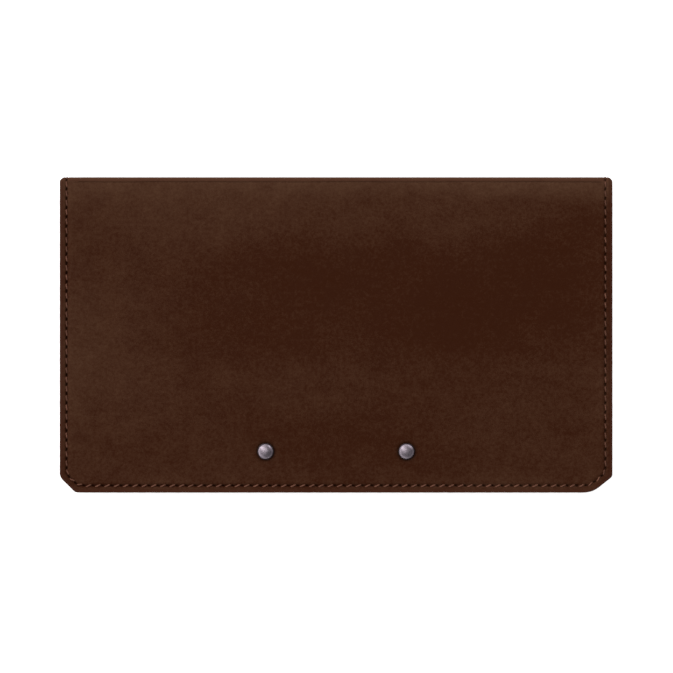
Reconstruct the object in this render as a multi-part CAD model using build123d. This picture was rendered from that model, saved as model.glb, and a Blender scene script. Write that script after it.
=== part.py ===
from build123d import *
import math
import os

# A leather checkbook cover that folds along its top edge, closed and lying on its back.
# Millimetres. X runs along the fold, Y from the free edge to the spine, Z up from the table.
# The origin is under the middle of the closed cover, on the face that it rests on.
# The outer leather is one piece on the real cover. Here it is three, parted at the two fold
# lines of the spine, so that the cover opens flat: back, spine and front.

# Outline of the closed cover
cover_width = 190.0
cover_height = 108.5
left_corner_cut = (5.4, 5.35)
right_corner_cut = (6.9, 5.55)
left_corner_rounds = (3.5, 2.0)
right_corner_rounds = (8.8, 1.7)
least_corner_round = 0.6
spine_corner_round = 1.0

# Leathers and boards
cover_leather = 1.5
lining_leather = 1.0
board_thickness = 0.5
board_inset = 5.0
board_to_fold = 6.0
board_clearance = 0.2
edge_bevel = 0.4

# The folds: the spine's round edges turn in hollow panel ends
fold_gap = 0.15

# The space for the checkbook, and the pocket that holds its card back
checkbook_space = 5.0
pocket_leather = 1.0
pocket_slack = 0.4
pocket_depth = 84.25
pocket_side_margin = 3.6
notch_radius = 11.0
notch_lip_round = 2.5

# Card tiers inside the front panel, each over the one before and set back from it
tier_leather = 0.7
tier_slack = 0.25
slip_mouth_margin = 7.25
card_mouth_margin = 14.25
card_mouth_step = 12.0
card_pocket_depth = 50.0
card_column_margin = 4.0
slip_foot_margin = 5.5
pen_channel = 10.25

# Seams
seam_inset = 2.4
stitch_pitch = 3.2
stitch_length = 2.2
stitch_width = 0.5
stitch_thickness = 0.28
stitch_slant = 12.0
groove_width = 1.5
groove_depth = 0.35
short_groove_width = 1.2

# Pen loop
pen_bore_radius = 3.7
pen_loop_leather = 0.9
pen_loop_length = 16.0
pen_loop_seam_offset = 4.0

# Rivets
rivet_spacing = 48.4
rivet_from_edge = 14.2
rivet_cap_radius = 2.8
rivet_dome_height = 1.45
rivet_rim_height = 0.6
rivet_rim_width = 0.3
shank_radius = 1.15
shank_wall = 0.5
shank_clearance = 0.05
pin_clearance = 0.05
rivet_back_radius = 2.5
rivet_back_thickness = 0.45
rivet_back_clearance = 0.4

# Levels and lines that follow from the sizes above
shell = cover_leather + lining_leather
fold_radius = shell / 2
socket_radius = fold_radius + fold_gap
half_width = cover_width / 2
free_edge = -cover_height / 2
spine_face = cover_height / 2
spine_inner_face = spine_face - shell
fold_y = spine_face - fold_radius
seam_top = fold_y - socket_radius
tier_step = tier_leather + tier_slack
tier_names = ["slip_pocket", "tall_card_tier", "middle_card_tier", "short_card_tier"]
pocket_face = shell + pocket_leather + pocket_slack
closed_thickness = pocket_face + checkbook_space + len(tier_names) * tier_step + shell
lower_fold_z = fold_radius
upper_fold_z = closed_thickness - fold_radius
front_lining_face = closed_thickness - shell
pocket_mouth = free_edge + pocket_depth
tier_root = spine_inner_face - pen_channel
card_foot_seam_y = tier_root - seam_inset
tier_mouths = [free_edge + slip_mouth_margin] + [
    free_edge + card_mouth_margin + step * card_mouth_step for step in range(3)
]
tier_faces = [front_lining_face - (place + 1) * tier_step for place in range(len(tier_names))]
rivet_y = free_edge + rivet_from_edge
pen_loop_radius = pen_bore_radius + pen_loop_leather
pen_axis_y = spine_inner_face - pen_loop_radius
pen_axis_z = closed_thickness / 2


def shifted_corner(before, corner, after, inset):
    """The corner of two sides that both moved in by inset. The outline runs with its inside on the left."""
    first = (Vector(*corner) - Vector(*before)).normalized()
    second = (Vector(*after) - Vector(*corner)).normalized()
    inward = Vector(-first.Y, first.X) + Vector(-second.Y, second.X)
    moved = Vector(*corner) + inward * (inset / (1 + first.dot(second)))
    return (moved.X, moved.Y)


def edge_path(inset, top):
    """The panel's edge moved in by inset: down the left side, along the free edge and up the right side."""
    corners = [
        (-half_width, top),
        (-half_width, free_edge + left_corner_cut[1]),
        (-half_width + left_corner_cut[0], free_edge),
        (half_width - right_corner_cut[0], free_edge),
        (half_width, free_edge + right_corner_cut[1]),
        (half_width, top),
    ]
    turns = [
        shifted_corner(before, corner, after, inset)
        for before, corner, after in zip(corners, corners[1:], corners[2:])
    ]
    ends = (-half_width + inset, top), (half_width - inset, top)
    bends = [max(bend - inset, least_corner_round) for bend in left_corner_rounds + right_corner_rounds]
    return FilletPolyline(ends[0], *turns, ends[1], radius=bends)


def panel_face(inset, top):
    """A panel's outline as a face, its three free sides moved in by inset."""
    path = edge_path(inset, top)
    return make_face([path, Line(path @ 1, path @ 0)])


def band(low, high, left=-half_width, right=half_width):
    """A rectangle between two heights on the panel."""
    return Pos((left + right) / 2, (low + high) / 2) * Rectangle(right - left, high - low)


def slab(face, low, high):
    """A flat sheet of the face's outline between two levels."""
    return Pos(0, 0, low) * extrude(face, amount=high - low, dir=(0, 0, 1))


def seam_channel(low, high):
    """The face of the seam's groove round the panel, between two heights."""
    outer = panel_face(seam_inset - groove_width / 2, fold_y)
    inner = panel_face(seam_inset + groove_width / 2, fold_y)
    return (outer - inner) & band(low, high)


def fold_socket(level, toward_inside):
    """What a panel's hollow end is cut with: room for the spine's round edge and its inner face."""
    length = cover_width + 2 * fold_radius
    roller = Pos(0, fold_y, level) * Cylinder(socket_radius, length, rotation=(0, 90, 0))
    beside = Pos(0, fold_y, level + toward_inside * shell / 2) * Box(length, 2 * socket_radius, shell)
    return roller + beside


def outer_cover(outer_level, inner_level, fold_level):
    """A panel's outer leather: bevelled edge, seam groove on its outside and a hollow end at the fold."""
    low, high = sorted((outer_level, inner_level))
    leather = slab(panel_face(0, fold_y), low, high)
    rim = leather.edges().filter_by_position(Axis.Z, outer_level, outer_level)
    rim -= rim.sort_by(Axis.Y)[-1:]
    bevel = min(edge_bevel, cover_leather / 2)
    leather = fillet(rim, bevel)
    floor = outer_level + math.copysign(groove_depth, inner_level - outer_level)
    leather -= slab(seam_channel(free_edge, fold_y), *sorted((outer_level, floor)))
    return leather - fold_socket(fold_level, math.copysign(1, inner_level - outer_level))


def board_face(clearance=0.0):
    """The stiffening board's outline, or the recess that it lies in."""
    return panel_face(board_inset - clearance, fold_y - board_to_fold + clearance)


def lining(cover_level, inner_level, fold_level, exposed):
    """A panel's inner leather, with the board's recess and a seam groove where it is exposed."""
    low, high = sorted((cover_level, inner_level))
    toward_inside = math.copysign(1, inner_level - cover_level)
    leather = slab(panel_face(0, fold_y), low, high)
    recess_floor = cover_level + toward_inside * board_thickness
    leather -= slab(board_face(board_clearance), *sorted((cover_level, recess_floor)))
    groove_floor = inner_level - toward_inside * groove_depth
    for bottom, top in exposed:
        leather -= slab(seam_channel(bottom, top), *sorted((inner_level, groove_floor)))
    return leather - fold_socket(fold_level, toward_inside)


def rivet_places():
    """Where the two rivets stand on the front panel."""
    return {"left": Pos(-rivet_spacing / 2, rivet_y), "right": Pos(rivet_spacing / 2, rivet_y)}


def back_cover():
    return outer_cover(0.0, cover_leather, lower_fold_z)


def back_board():
    return slab(board_face(), cover_leather, cover_leather + board_thickness)


def back_lining():
    return lining(cover_leather, shell, lower_fold_z, [(pocket_mouth, fold_y)])


def checkbook_pocket():
    """The pocket for the checkbook's card back: open at its mouth, with a notch for the thumb."""
    face = panel_face(0, pocket_mouth) - Pos(0, pocket_mouth) * Circle(notch_radius)
    lips = face.vertices().group_by(Axis.Y)[-1].sort_by(Axis.X)[1:-1]
    face = fillet(lips, notch_lip_round)
    pocket = slab(face, shell, pocket_face)
    inside = panel_face(pocket_side_margin, pocket_mouth)
    pocket -= slab(inside, shell, shell + pocket_slack)
    channel = seam_channel(free_edge, pocket_mouth)
    return pocket - slab(channel, pocket_face - groove_depth, pocket_face)


def front_cover():
    leather = outer_cover(closed_thickness, front_lining_face + lining_leather, upper_fold_z)
    for place in rivet_places().values():
        hole = Cylinder(shank_radius + shank_clearance, closed_thickness)
        leather -= place * Pos(0, 0, closed_thickness) * hole
    return leather


def front_board():
    top = closed_thickness - cover_leather
    board = slab(board_face(), top - board_thickness, top)
    for place in rivet_places().values():
        hole = Cylinder(rivet_back_radius + rivet_back_clearance, closed_thickness)
        board -= place * Pos(0, 0, closed_thickness) * hole
    return board


def front_lining():
    exposed = [(free_edge, tier_mouths[0]), (tier_root, fold_y)]
    return lining(closed_thickness - cover_leather, front_lining_face, upper_fold_z, exposed)


def card_spaces(place):
    """The faces of the slots behind a tier: one wide slip slot, or two card columns."""
    mouth = tier_mouths[place]
    side = half_width - pocket_side_margin
    if place == 0:
        return [band(mouth, tier_root - slip_foot_margin, -side, side)]
    foot = mouth + card_pocket_depth
    inner = card_column_margin / 2
    return [band(mouth, foot, -side, -inner), band(mouth, foot, inner, side)]


def card_tier(place):
    """One tier of the front panel's inside, with slots behind it and grooves where its seams lie."""
    face_level = tier_faces[place]
    mouth = tier_mouths[place]
    root_level = face_level + tier_step
    tier = slab(panel_face(0, tier_root) & band(mouth, tier_root), face_level, root_level)
    for space in card_spaces(place):
        tier -= slab(space, root_level - tier_slack, root_level)
    last = place == len(tier_names) - 1
    exposed_top = tier_root if last else tier_mouths[place + 1]
    grooves = seam_channel(mouth, exposed_top)
    half_groove = short_groove_width / 2
    if place > 0:
        grooves += band(mouth, min(exposed_top, card_foot_seam_y), -half_groove, half_groove)
    if last:
        grooves += band(card_foot_seam_y - half_groove, card_foot_seam_y + half_groove)
    return tier - slab(grooves, face_level, face_level + groove_depth)


def spine_strip():
    """The spine between the two folds, as thick as cover and lining, with round edges and corners."""
    run = upper_fold_z - lower_fold_z
    section = Rot(0, 0, 90) * SlotCenterToCenter(run, shell)
    middle = Plane.YZ * (Pos(fold_y, (lower_fold_z + upper_fold_z) / 2) * section)
    strip = extrude(middle, amount=half_width, both=True)
    plan = band(fold_y - shell, spine_face)
    corners = plan.vertices().group_by(Axis.Y)[-1]
    return strip & slab(fillet(corners, spine_corner_round), 0, closed_thickness)


def spine_grooves(face, toward_inside):
    """The two seam grooves across the spine, on its outside or its inside."""
    depth = toward_inside * groove_depth
    groove = Box(groove_width, groove_depth, closed_thickness)
    place = Pos(half_width - seam_inset, face + depth / 2, closed_thickness / 2) * groove
    return [place, mirror(place, about=Plane.YZ)]


def spine_cover():
    split = spine_face - cover_leather
    outside = slab(band(split, spine_face), 0, closed_thickness)
    return (spine_strip() & outside) - spine_grooves(spine_face, -1)


def spine_lining():
    split = spine_face - cover_leather
    inside = slab(band(spine_inner_face, split), 0, closed_thickness)
    return (spine_strip() & inside) - spine_grooves(spine_inner_face, 1)


def pen_loop():
    """A strap bent round the pen, with its ends flat on the spine's lining."""
    ring = Pos(pen_axis_y, pen_axis_z) * Circle(pen_loop_radius)
    tab_y = spine_inner_face - pen_loop_leather / 2
    tab = Pos(tab_y, pen_axis_z) * Rectangle(pen_loop_leather, 2 * pen_loop_radius)
    bore = Pos(pen_axis_y, pen_axis_z) * Circle(pen_bore_radius)
    return extrude(Plane.YZ * (ring + tab - bore), amount=pen_loop_length / 2, both=True)


def rivet_cap(place):
    """A domed cap with a rolled rim, and the hollow shank under it that passes through the leather."""
    rim_inner = rivet_cap_radius - rivet_rim_width
    bore = shank_radius - shank_wall
    dome_middle = (rim_inner / 2, rivet_rim_height + (rivet_dome_height - rivet_rim_height) * 0.79)
    outline = [
        ThreePointArc((0, rivet_dome_height), dome_middle, (rim_inner, rivet_rim_height)),
        ThreePointArc(
            (rim_inner, rivet_rim_height),
            (rivet_cap_radius, rivet_rim_height / 2),
            (rim_inner, 0),
        ),
        Polyline(
            (rim_inner, 0),
            (shank_radius, 0),
            (shank_radius, -cover_leather),
            (bore, -cover_leather),
            (bore, 0),
            (0, 0),
            (0, rivet_dome_height),
        ),
    ]
    cap = revolve(Plane.XZ * make_face(outline), Axis.Z)
    return place * Pos(0, 0, closed_thickness) * cap


def rivet_back(place):
    """The flat back of a rivet, hidden in the board's hole, with the pin that fills the cap's shank."""
    disc = Cylinder(rivet_back_radius, rivet_back_thickness, align=(Align.CENTER, Align.CENTER, Align.MAX))
    pin_radius = shank_radius - shank_wall - pin_clearance
    pin_length = cover_leather - pin_clearance
    pin = Cylinder(pin_radius, pin_length, align=(Align.CENTER, Align.CENTER, Align.MIN))
    return place * Pos(0, 0, closed_thickness - cover_leather) * (disc + pin)


def spans(path):
    """The two ends of each stitch along a seam."""
    count = int(path.length // stitch_pitch)
    start = (path.length - count * stitch_pitch + stitch_pitch - stitch_length) / 2
    for number in range(count):
        begin = start + number * stitch_pitch
        yield path @ (begin / path.length), path @ ((begin + stitch_length) / path.length)


def stitch(near, far, outward):
    """One slanted stitch that lies on a groove's floor."""
    bar = Rot(0, 0, stitch_slant) * Rectangle(stitch_length, stitch_width)
    frame = Plane(origin=(near + far) / 2, x_dir=far - near, z_dir=outward)
    return frame * extrude(bar, amount=stitch_thickness, dir=(0, 0, 1))


def flat_seam(path, floor, outward):
    """Stitches along a path on the panel, each on the floor that floor gives for its two ends."""
    stitches = []
    for near, far in spans(path):
        lift = Vector(0, 0, floor(near.Y, far.Y))
        stitches.append(stitch(near + lift, far + lift, (0, 0, outward)))
    return Compound(children=stitches)


def back_inside_floor(near, far):
    """The groove's floor under an inside stitch of the back panel."""
    face = pocket_face if min(near, far) < pocket_mouth else shell
    return face - groove_depth


def front_inside_floor(near, far):
    """The groove's floor over an inside stitch of the front panel, on the innermost leather there."""
    face = front_lining_face
    for mouth, level in zip(tier_mouths, tier_faces):
        if max(near, far) > mouth and min(near, far) < tier_root:
            face = level
    return face + groove_depth


def back_seam_outside():
    return flat_seam(edge_path(seam_inset, seam_top), lambda near, far: groove_depth, -1)


def back_seam_inside():
    return flat_seam(edge_path(seam_inset, seam_top), back_inside_floor, 1)


def front_seam_outside():
    floor = closed_thickness - groove_depth
    return flat_seam(edge_path(seam_inset, seam_top), lambda near, far: floor, 1)


def front_seam_inside():
    return flat_seam(edge_path(seam_inset, seam_top), front_inside_floor, -1)


def card_centre_seam():
    """The seam that parts the cards into two columns."""
    path = Line((0, tier_mouths[1]), (0, card_foot_seam_y - short_groove_width / 2))
    return flat_seam(path, front_inside_floor, -1)


def card_foot_seam():
    """The seam along the foot of the card tiers, between the two side seams."""
    reach = half_width - seam_inset - groove_width / 2
    path = Line((-reach, card_foot_seam_y), (reach, card_foot_seam_y))
    return flat_seam(path, front_inside_floor, -1)


def spine_seam(face, outward):
    """The stitches across the spine at both sides, on its outside or its inside."""
    floor = face - outward * groove_depth
    stitches = []
    for side in (-1, 1):
        x = side * (half_width - seam_inset)
        path = Line((x, floor, shell), (x, floor, closed_thickness - shell))
        stitches += [stitch(near, far, (0, outward, 0)) for near, far in spans(path)]
    return Compound(children=stitches)


def pen_loop_stitches():
    """Two short rows that hold the strap's ends to the spine."""
    face = spine_inner_face - pen_loop_leather
    stitches = []
    for side in (-1, 1):
        z = pen_axis_z + side * pen_loop_seam_offset
        path = Line((-pen_loop_length / 2, face, z), (pen_loop_length / 2, face, z))
        stitches += [stitch(near, far, (0, -1, 0)) for near, far in spans(path)]
    return Compound(children=stitches)


def all_parts():
    """Every node's name and shape."""
    parts = {
        "back_cover": back_cover(),
        "back_board": back_board(),
        "back_lining": back_lining(),
        "checkbook_pocket": checkbook_pocket(),
        "back_seam_outside": back_seam_outside(),
        "back_seam_inside": back_seam_inside(),
        "spine_cover": spine_cover(),
        "spine_lining": spine_lining(),
        "spine_seam_outside": spine_seam(spine_face, 1),
        "spine_seam_inside": spine_seam(spine_inner_face, -1),
        "pen_loop": pen_loop(),
        "pen_loop_stitches": pen_loop_stitches(),
        "front_cover": front_cover(),
        "front_board": front_board(),
        "front_lining": front_lining(),
        "front_seam_outside": front_seam_outside(),
        "front_seam_inside": front_seam_inside(),
        "card_centre_seam": card_centre_seam(),
        "card_foot_seam": card_foot_seam(),
    }
    for place, name in enumerate(tier_names):
        parts[name] = card_tier(place)
    for side, place in rivet_places().items():
        parts[side + "_rivet_cap"] = rivet_cap(place)
        parts[side + "_rivet_back"] = rivet_back(place)
    return parts


os.makedirs("parts", exist_ok=True)
for node, shape in all_parts().items():
    export_step(shape, os.path.join("parts", node + ".step"))
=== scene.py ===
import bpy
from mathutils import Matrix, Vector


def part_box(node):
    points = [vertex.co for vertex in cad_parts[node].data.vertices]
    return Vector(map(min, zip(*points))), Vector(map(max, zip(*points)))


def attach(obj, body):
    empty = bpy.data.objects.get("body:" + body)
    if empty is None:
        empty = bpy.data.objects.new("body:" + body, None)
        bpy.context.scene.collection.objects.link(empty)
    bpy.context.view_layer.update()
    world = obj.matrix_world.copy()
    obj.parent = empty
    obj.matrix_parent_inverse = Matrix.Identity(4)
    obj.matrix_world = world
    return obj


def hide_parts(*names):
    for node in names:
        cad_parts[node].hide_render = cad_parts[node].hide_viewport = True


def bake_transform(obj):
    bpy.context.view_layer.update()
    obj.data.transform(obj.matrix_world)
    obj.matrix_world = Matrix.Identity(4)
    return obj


bl_info = {
    "name": "Leather Checkbook Cover",
    "version": (1, 0, 0),
    "blender": (4, 5, 0),
    "location": "3D View > Sidebar > Checkbook Cover",
    "description": "Dresses a folding checkbook cover in stitched pull-up leather with domed rivets",
    "category": "Add Mesh",
}

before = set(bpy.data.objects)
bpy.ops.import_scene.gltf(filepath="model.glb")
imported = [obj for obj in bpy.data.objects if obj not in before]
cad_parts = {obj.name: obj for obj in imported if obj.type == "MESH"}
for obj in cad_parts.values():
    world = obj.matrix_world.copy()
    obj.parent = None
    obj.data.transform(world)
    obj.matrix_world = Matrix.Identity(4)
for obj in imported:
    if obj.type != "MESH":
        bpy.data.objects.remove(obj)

import math

import bmesh
import bpy
import numpy as np
from mathutils import Vector
from mathutils.geometry import delaunay_2d_cdt

MM = 0.001
X, Y, Z = 0, 1, 2
CARD_TIERS = ("slip_pocket", "tall_card_tier", "middle_card_tier", "short_card_tier")
RIVET_CAPS = ("left_rivet_cap", "right_rivet_cap")
SIDES = ((1, "front"), (-1, "back"))


def low(node, axis):
    """The lowest place of a CAD node along an axis."""
    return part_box(node)[0][axis]


def high(node, axis):
    """The highest place of a CAD node along an axis."""
    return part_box(node)[1][axis]


def middle_of(node, axis):
    """The middle of a CAD node along an axis."""
    return (low(node, axis) + high(node, axis)) / 2


def half_of(node, axis):
    """Half the size of a CAD node along an axis."""
    return (high(node, axis) - low(node, axis)) / 2


# Levels and lines that come from the frame
HALF_WIDTH = high("front_cover", X)
FREE_EDGE = low("front_cover", Y)
TOP = high("front_cover", Z)
COVER = TOP - low("front_cover", Z)
LINING = low("front_cover", Z) - low("front_lining", Z)
SHELL = COVER + LINING
FOLD_RADIUS = SHELL / 2
FOLD_Y = high("spine_cover", Y) - FOLD_RADIUS
SPINE_INSIDE = low("spine_lining", Y)
NOSE = FOLD_RADIUS * math.pi / 2
SPINE_RUN = TOP - 2 * FOLD_RADIUS
SPINE_MIDDLE = FOLD_Y + NOSE + SPINE_RUN / 2
SPINE_PART = SPINE_RUN / 4
POCKET_MOUTH = high("checkbook_pocket", Y)
POCKET_FACE = high("checkbook_pocket", Z)
TIER_ROOT = high("slip_pocket", Y)
TIER_THICKNESS = high("slip_pocket", Z) - low("slip_pocket", Z)
TIER_LEATHER = 0.7 * MM
TIER_SLACK = TIER_THICKNESS - TIER_LEATHER
POCKET_LEATHER = 1.0 * MM
POCKET_SLACK = POCKET_FACE - SHELL - POCKET_LEATHER
FOOT_SEAM = middle_of("card_foot_seam", Y)
PEN_LOOP_RADIUS = half_of("pen_loop", Z)
PEN_LOOP_AXIS = SPINE_INSIDE - PEN_LOOP_RADIUS
PEN_LOOP_END = high("pen_loop", X)
INNER_BEND = 0.3 * MM
INNER_FOLD = SPINE_INSIDE - INNER_BEND
INNER_ARC = INNER_BEND * math.pi / 2
INNER_MIDDLE = INNER_FOLD + INNER_ARC + TOP / 2 - SHELL - INNER_BEND

# How far a bend of a piece would reach to both sides of the fold
OUTER_BLEND = 1.6 * MM
LINING_BLEND = 0.5 * MM

# Steps of the meshes along cut edges, mouths, folds and stitches
EDGE_STEP = 0.55 * MM
MOUTH_STEP = 0.6 * MM
FOLD_STEP = 0.13 * MM
STEPS_PER_STITCH = 10

# Margins of the places inside a mesh: from its cut edge, and of the coarse middle from a panel's edges.
# At a straight joint the ease brings places nearer.
EDGE_MARGIN = 0.52 * MM
PANEL_MARGIN = 10.5 * MM
JOINT_EASE = 0.45 * MM

# Points nearer than this become one
WELD = 0.002 * MM

# How far on and off a pocket's edge a thread steps down to the leather below
THREAD_ON_EDGE = 0.05 * MM
THREAD_OFF_EDGE = 0.4 * MM

# Shifts in metres that take the checkbook pocket, each tier and the pen loop's strap from parts of the hide
# of their own
POCKET_SHIFT = 0.31
FIRST_TIER_SHIFT = 0.5
TIER_SHIFT = 0.23
STRAP_SHIFT = 1.7

# Rows of places beside a seam, below a mouth and round a rivet
BESIDE_SEAM = np.array([0.12, 0.24, 0.36, 0.5, 0.7, 0.95, 1.3]) * MM
SEAM_OFFSETS = np.concatenate([[-1.7 * MM], -BESIDE_SEAM[::-1], [0], BESIDE_SEAM, [1.8 * MM]])
MOUTH_OFFSETS = np.array([0.75, 1.1, 1.35, 1.5, 1.7, 1.9, 2.1, 2.5, 3.5]) * MM
RIVET_OFFSETS = np.array([-0.6, -0.3, -0.1, 0.1, 0.3, 0.55, 0.9, 1.5, 2.4]) * MM

# How finely threads are made: sides round a stitch and rings along it
SHOWN_THREAD = {"sides": 12, "rings": 15}
LONG_INNER_THREAD = {"sides": 9, "rings": 15}
INNER_THREAD = {"sides": 9, "rings": 11}


def number(name, description, default, **limits):
    """A number that a user can change."""
    return bpy.props.FloatProperty(name=name, description=description, default=default, **limits)


def length(name, description, default, **limits):
    """A length that a user can change, in metres."""
    return number(name, description, default, unit="LENGTH", precision=5, **limits)


def share(name, description, default):
    """A number from 0 to 1 that a user can change."""
    return number(name, description, default, subtype="FACTOR", min=0, max=1)


def colour(name, description, default):
    """A colour that a user can change."""
    return bpy.props.FloatVectorProperty(
        name=name, description=description, default=default, subtype="COLOR", min=0, max=1, size=3
    )


class CoverSizes(bpy.types.PropertyGroup):
    """Sizes of the leather, its corners, its relief and its edges."""

    left_cut_width: length("Left cut width", "Reach of the left corner cut along the free edge", 5.4 * MM)
    left_cut_height: length("Left cut height", "Reach of the left corner cut up the side", 5.35 * MM)
    left_upper_round: length("Left upper round", "Radius at the left cut's upper end", 3.5 * MM)
    left_lower_round: length("Left lower round", "Radius at the left cut's lower end", 2.0 * MM)
    right_cut_width: length("Right cut width", "Reach of the right corner cut along the free edge", 6.9 * MM)
    right_cut_height: length("Right cut height", "Reach of the right corner cut up the side", 5.55 * MM)
    right_lower_round: length("Right lower round", "Radius at the right cut's lower end", 8.8 * MM)
    right_upper_round: length("Right upper round", "Radius at the right cut's upper end", 1.7 * MM)
    edge_round: length("Edge round", "Radius of the rubbed upper edge of the cut leather", 0.36 * MM)
    edge_rough: length("Edge roughness", "How far the cut edge wanders", 0.03 * MM)
    puff: length("Puff", "How far the leather swells just inside the seam", 0.22 * MM)
    wave: length("Wave", "How far the panels are from flat", 0.09 * MM)
    pinch: length("Pinch", "How far the lining draws in at the corner of the fold", 0.31 * MM)
    crease_depth: length("Crease depth", "Depth of the fold lines pressed into the outside", 0.16 * MM)
    panel_gap: length("Panel gap", "Spacing of the mesh across the middle of a panel", 3.2 * MM, min=1 * MM)
    notch_radius: length("Thumb notch", "Radius of the thumb notch in the checkbook pocket", 11.0 * MM)
    notch_lip: length("Notch lip", "Radius of the lips on both sides of the notch", 2.5 * MM)
    pen_leather: length("Pen loop leather", "Thickness of the pen loop's strap", 0.9 * MM)


class SeamSizes(bpy.types.PropertyGroup):
    """Sizes of the seams and their thread."""

    inset: length("Inset", "Distance of the seam from the cut edge", 2.4 * MM)
    pitch: length("Pitch", "Distance from one needle hole to the next", 3.2 * MM)
    groove_depth: length("Groove depth", "How deep the thread pulls the leather down", 0.24 * MM)
    groove_width: length("Groove width", "Half width of the dip along the seam", 0.42 * MM)
    hole_turn: number("Hole turn", "Slant of the needle holes against the seam, in degrees", 12)
    end_gap: share("End gap", "Share of the pitch from a hole's centre to the stitch's end", 0.2)
    hole_depth: length("Hole depth", "Depth of a needle hole", 0.52 * MM)
    hole_length: length("Hole length", "Half length of a needle hole along the seam", 0.52 * MM)
    hole_width: length("Hole width", "Half width of a needle hole", 0.33 * MM)
    thread_radius: length("Thread radius", "Radius of the twisted thread", 0.25 * MM)
    thread_rise: length("Thread rise", "How far the thread's middle line stands over the leather", -0.13 * MM)
    sway: length("Sway", "How far a stitch's ends lie to either side of the seam", 0.25 * MM)


class CoverColours(bpy.types.PropertyGroup):
    """Colours of the leather, thread and metal."""

    leather: colour("Leather", "The deep brown of the oiled leather", (0.0478, 0.0117, 0.0033))
    # Mixed in by the rub value, which on the outer leather is wear together with painted sheen and
    # highlights.
    rubbed_and_sheen: colour("Rubbed leather", "The leather where it is bent or rubbed", (0.110, 0.050, 0.027))
    edge: colour("Cut edge", "The red brown of the cut and rubbed edges", (0.075, 0.020, 0.011))
    lining: colour("Lining", "The brown of the lining and pockets", (0.080, 0.029, 0.016))
    lining_rubbed: colour("Rubbed lining", "The lining where it is rubbed", (0.16, 0.072, 0.043))
    thread: colour("Thread", "The waxed thread", (0.178, 0.076, 0.049))
    metal: colour("Rivet metal", "The nickel of the rivets", (0.458, 0.39, 0.452))
    floor: colour("Floor", "The pale floor", (0.9, 0.9, 0.9))
    clouds: share("Clouds", "How strongly the leather is clouded", 0.55)
    grain: share("Grain", "How strongly the grain shows", 0.35)


class StageSettings(bpy.types.PropertyGroup):
    """The camera and the lights."""

    view_width: length("View width", "Width that the camera sees at the front cover", 231.2 * MM)
    aim_x: length("Aim across", "How far right of the middle the camera stands", 0.14 * MM)
    aim_y: length("Aim up", "How far towards the fold the camera stands", -0.58 * MM)
    lens: number("Lens", "Focal length in millimetres", 85, min=10)
    key: number("Key light", "Power of the key light", 10, min=0, unit="POWER")
    fill: number("Fill light", "Power of the fill light", 2.4, min=0, unit="POWER")
    glow: number("Floor glow", "Strength of the light from the floor itself", 0.8, min=0)
    sky: number("Sky", "Strength of the even light from the sides", 0.9, min=0)
    sky_top: number("Sky top", "Share of that light from overhead", 0.1, min=0)


def cover():
    """The cover's sizes."""
    return bpy.context.scene.cover_sizes


def sewing():
    """The sizes of the seams."""
    return bpy.context.scene.seam_sizes


def tones():
    """The cover's colours."""
    return bpy.context.scene.cover_colours


# Curves of one value, used for every relief


def smooth(value, start, end):
    """0 before start, 1 after end and a smooth step between."""
    step = np.clip((value - start) / (end - start), 0, 1)
    return step * step * (3 - 2 * step)


def band(value, start, full, fade, end):
    """1 from full to fade, 0 before start and after end, and smooth steps between."""
    return smooth(value, start, full) * (1 - smooth(value, fade, end))


def ridge(value, centre, width):
    """A smooth ridge of height 1."""
    return np.exp(-(((value - centre) / width) ** 2))


def ripple(u, v, size):
    """A smooth uneven wave of about -1 to 1 that never repeats over the cover."""
    a, b = u / size, v / size
    wave = np.sin(1.7 * a + 0.9 * b + 0.4) + np.sin(-1.1 * a + 1.9 * b + 2.1)
    wave += 0.6 * np.sin(3.1 * a - 2.3 * b + 4.0) + 0.5 * np.sin(2.6 * a + 3.7 * b + 1.3)
    return wave / 3.1


def darkest(*shades):
    """The deepest of several shades at each place."""
    return np.maximum.reduce(shades)


# Outlines in the flat pattern. u runs along the fold and v from the free edge to the spine.


def panel_corners(top):
    """The corners of a panel: down the left side, along the free edge and up the right side."""
    sizes = cover()
    return [
        (-HALF_WIDTH, top),
        (-HALF_WIDTH, FREE_EDGE + sizes.left_cut_height),
        (-HALF_WIDTH + sizes.left_cut_width, FREE_EDGE),
        (HALF_WIDTH - sizes.right_cut_width, FREE_EDGE),
        (HALF_WIDTH, FREE_EDGE + sizes.right_cut_height),
        (HALF_WIDTH, top),
    ]


def panel_depth(u, v):
    """How far a place lies inside the nearest cut edge of a panel."""
    corners = panel_corners(TOP + HALF_WIDTH)
    depth = np.full(np.shape(u), np.inf)
    for (u0, v0), (u1, v1) in zip(corners, corners[1:]):
        run = math.hypot(u1 - u0, v1 - v0)
        depth = np.minimum(depth, ((u1 - u0) * (v - v0) - (v1 - v0) * (u - u0)) / run)
    return depth


def unit(runs):
    """Directions of length 1."""
    return runs / np.linalg.norm(runs, axis=1)[:, None]


def left_of(runs):
    """The directions a quarter turn to the left of these."""
    return np.stack([-runs[:, 1], runs[:, 0]], axis=1)


def shifted(corners, inset):
    """Corners of an open outline whose sides all move inward, which is to the left of its run."""
    points = np.array(corners)
    runs = unit(np.diff(points, axis=0))
    inward = left_of(runs)
    moved = [points[0] + inward[0] * inset]
    for at in range(1, len(points) - 1):
        both = inward[at - 1] + inward[at]
        moved.append(points[at] + both * inset / (1 + runs[at - 1] @ runs[at]))
    moved.append(points[-1] + inward[-1] * inset)
    return moved


def lengths_along(line):
    """The length from a line's start to each of its points."""
    return np.concatenate([[0], np.cumsum(np.linalg.norm(np.diff(line, axis=0), axis=1))])


def walk(line, marks):
    """Places on a line at these lengths along it, and the directions to its left."""
    reach = lengths_along(line)
    near = 0.02 * MM

    def at(lengths):
        return np.stack([np.interp(lengths, reach, line[:, axis]) for axis in (0, 1)], axis=1)

    return at(marks), left_of(unit(at(marks + near) - at(marks - near)))


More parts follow.
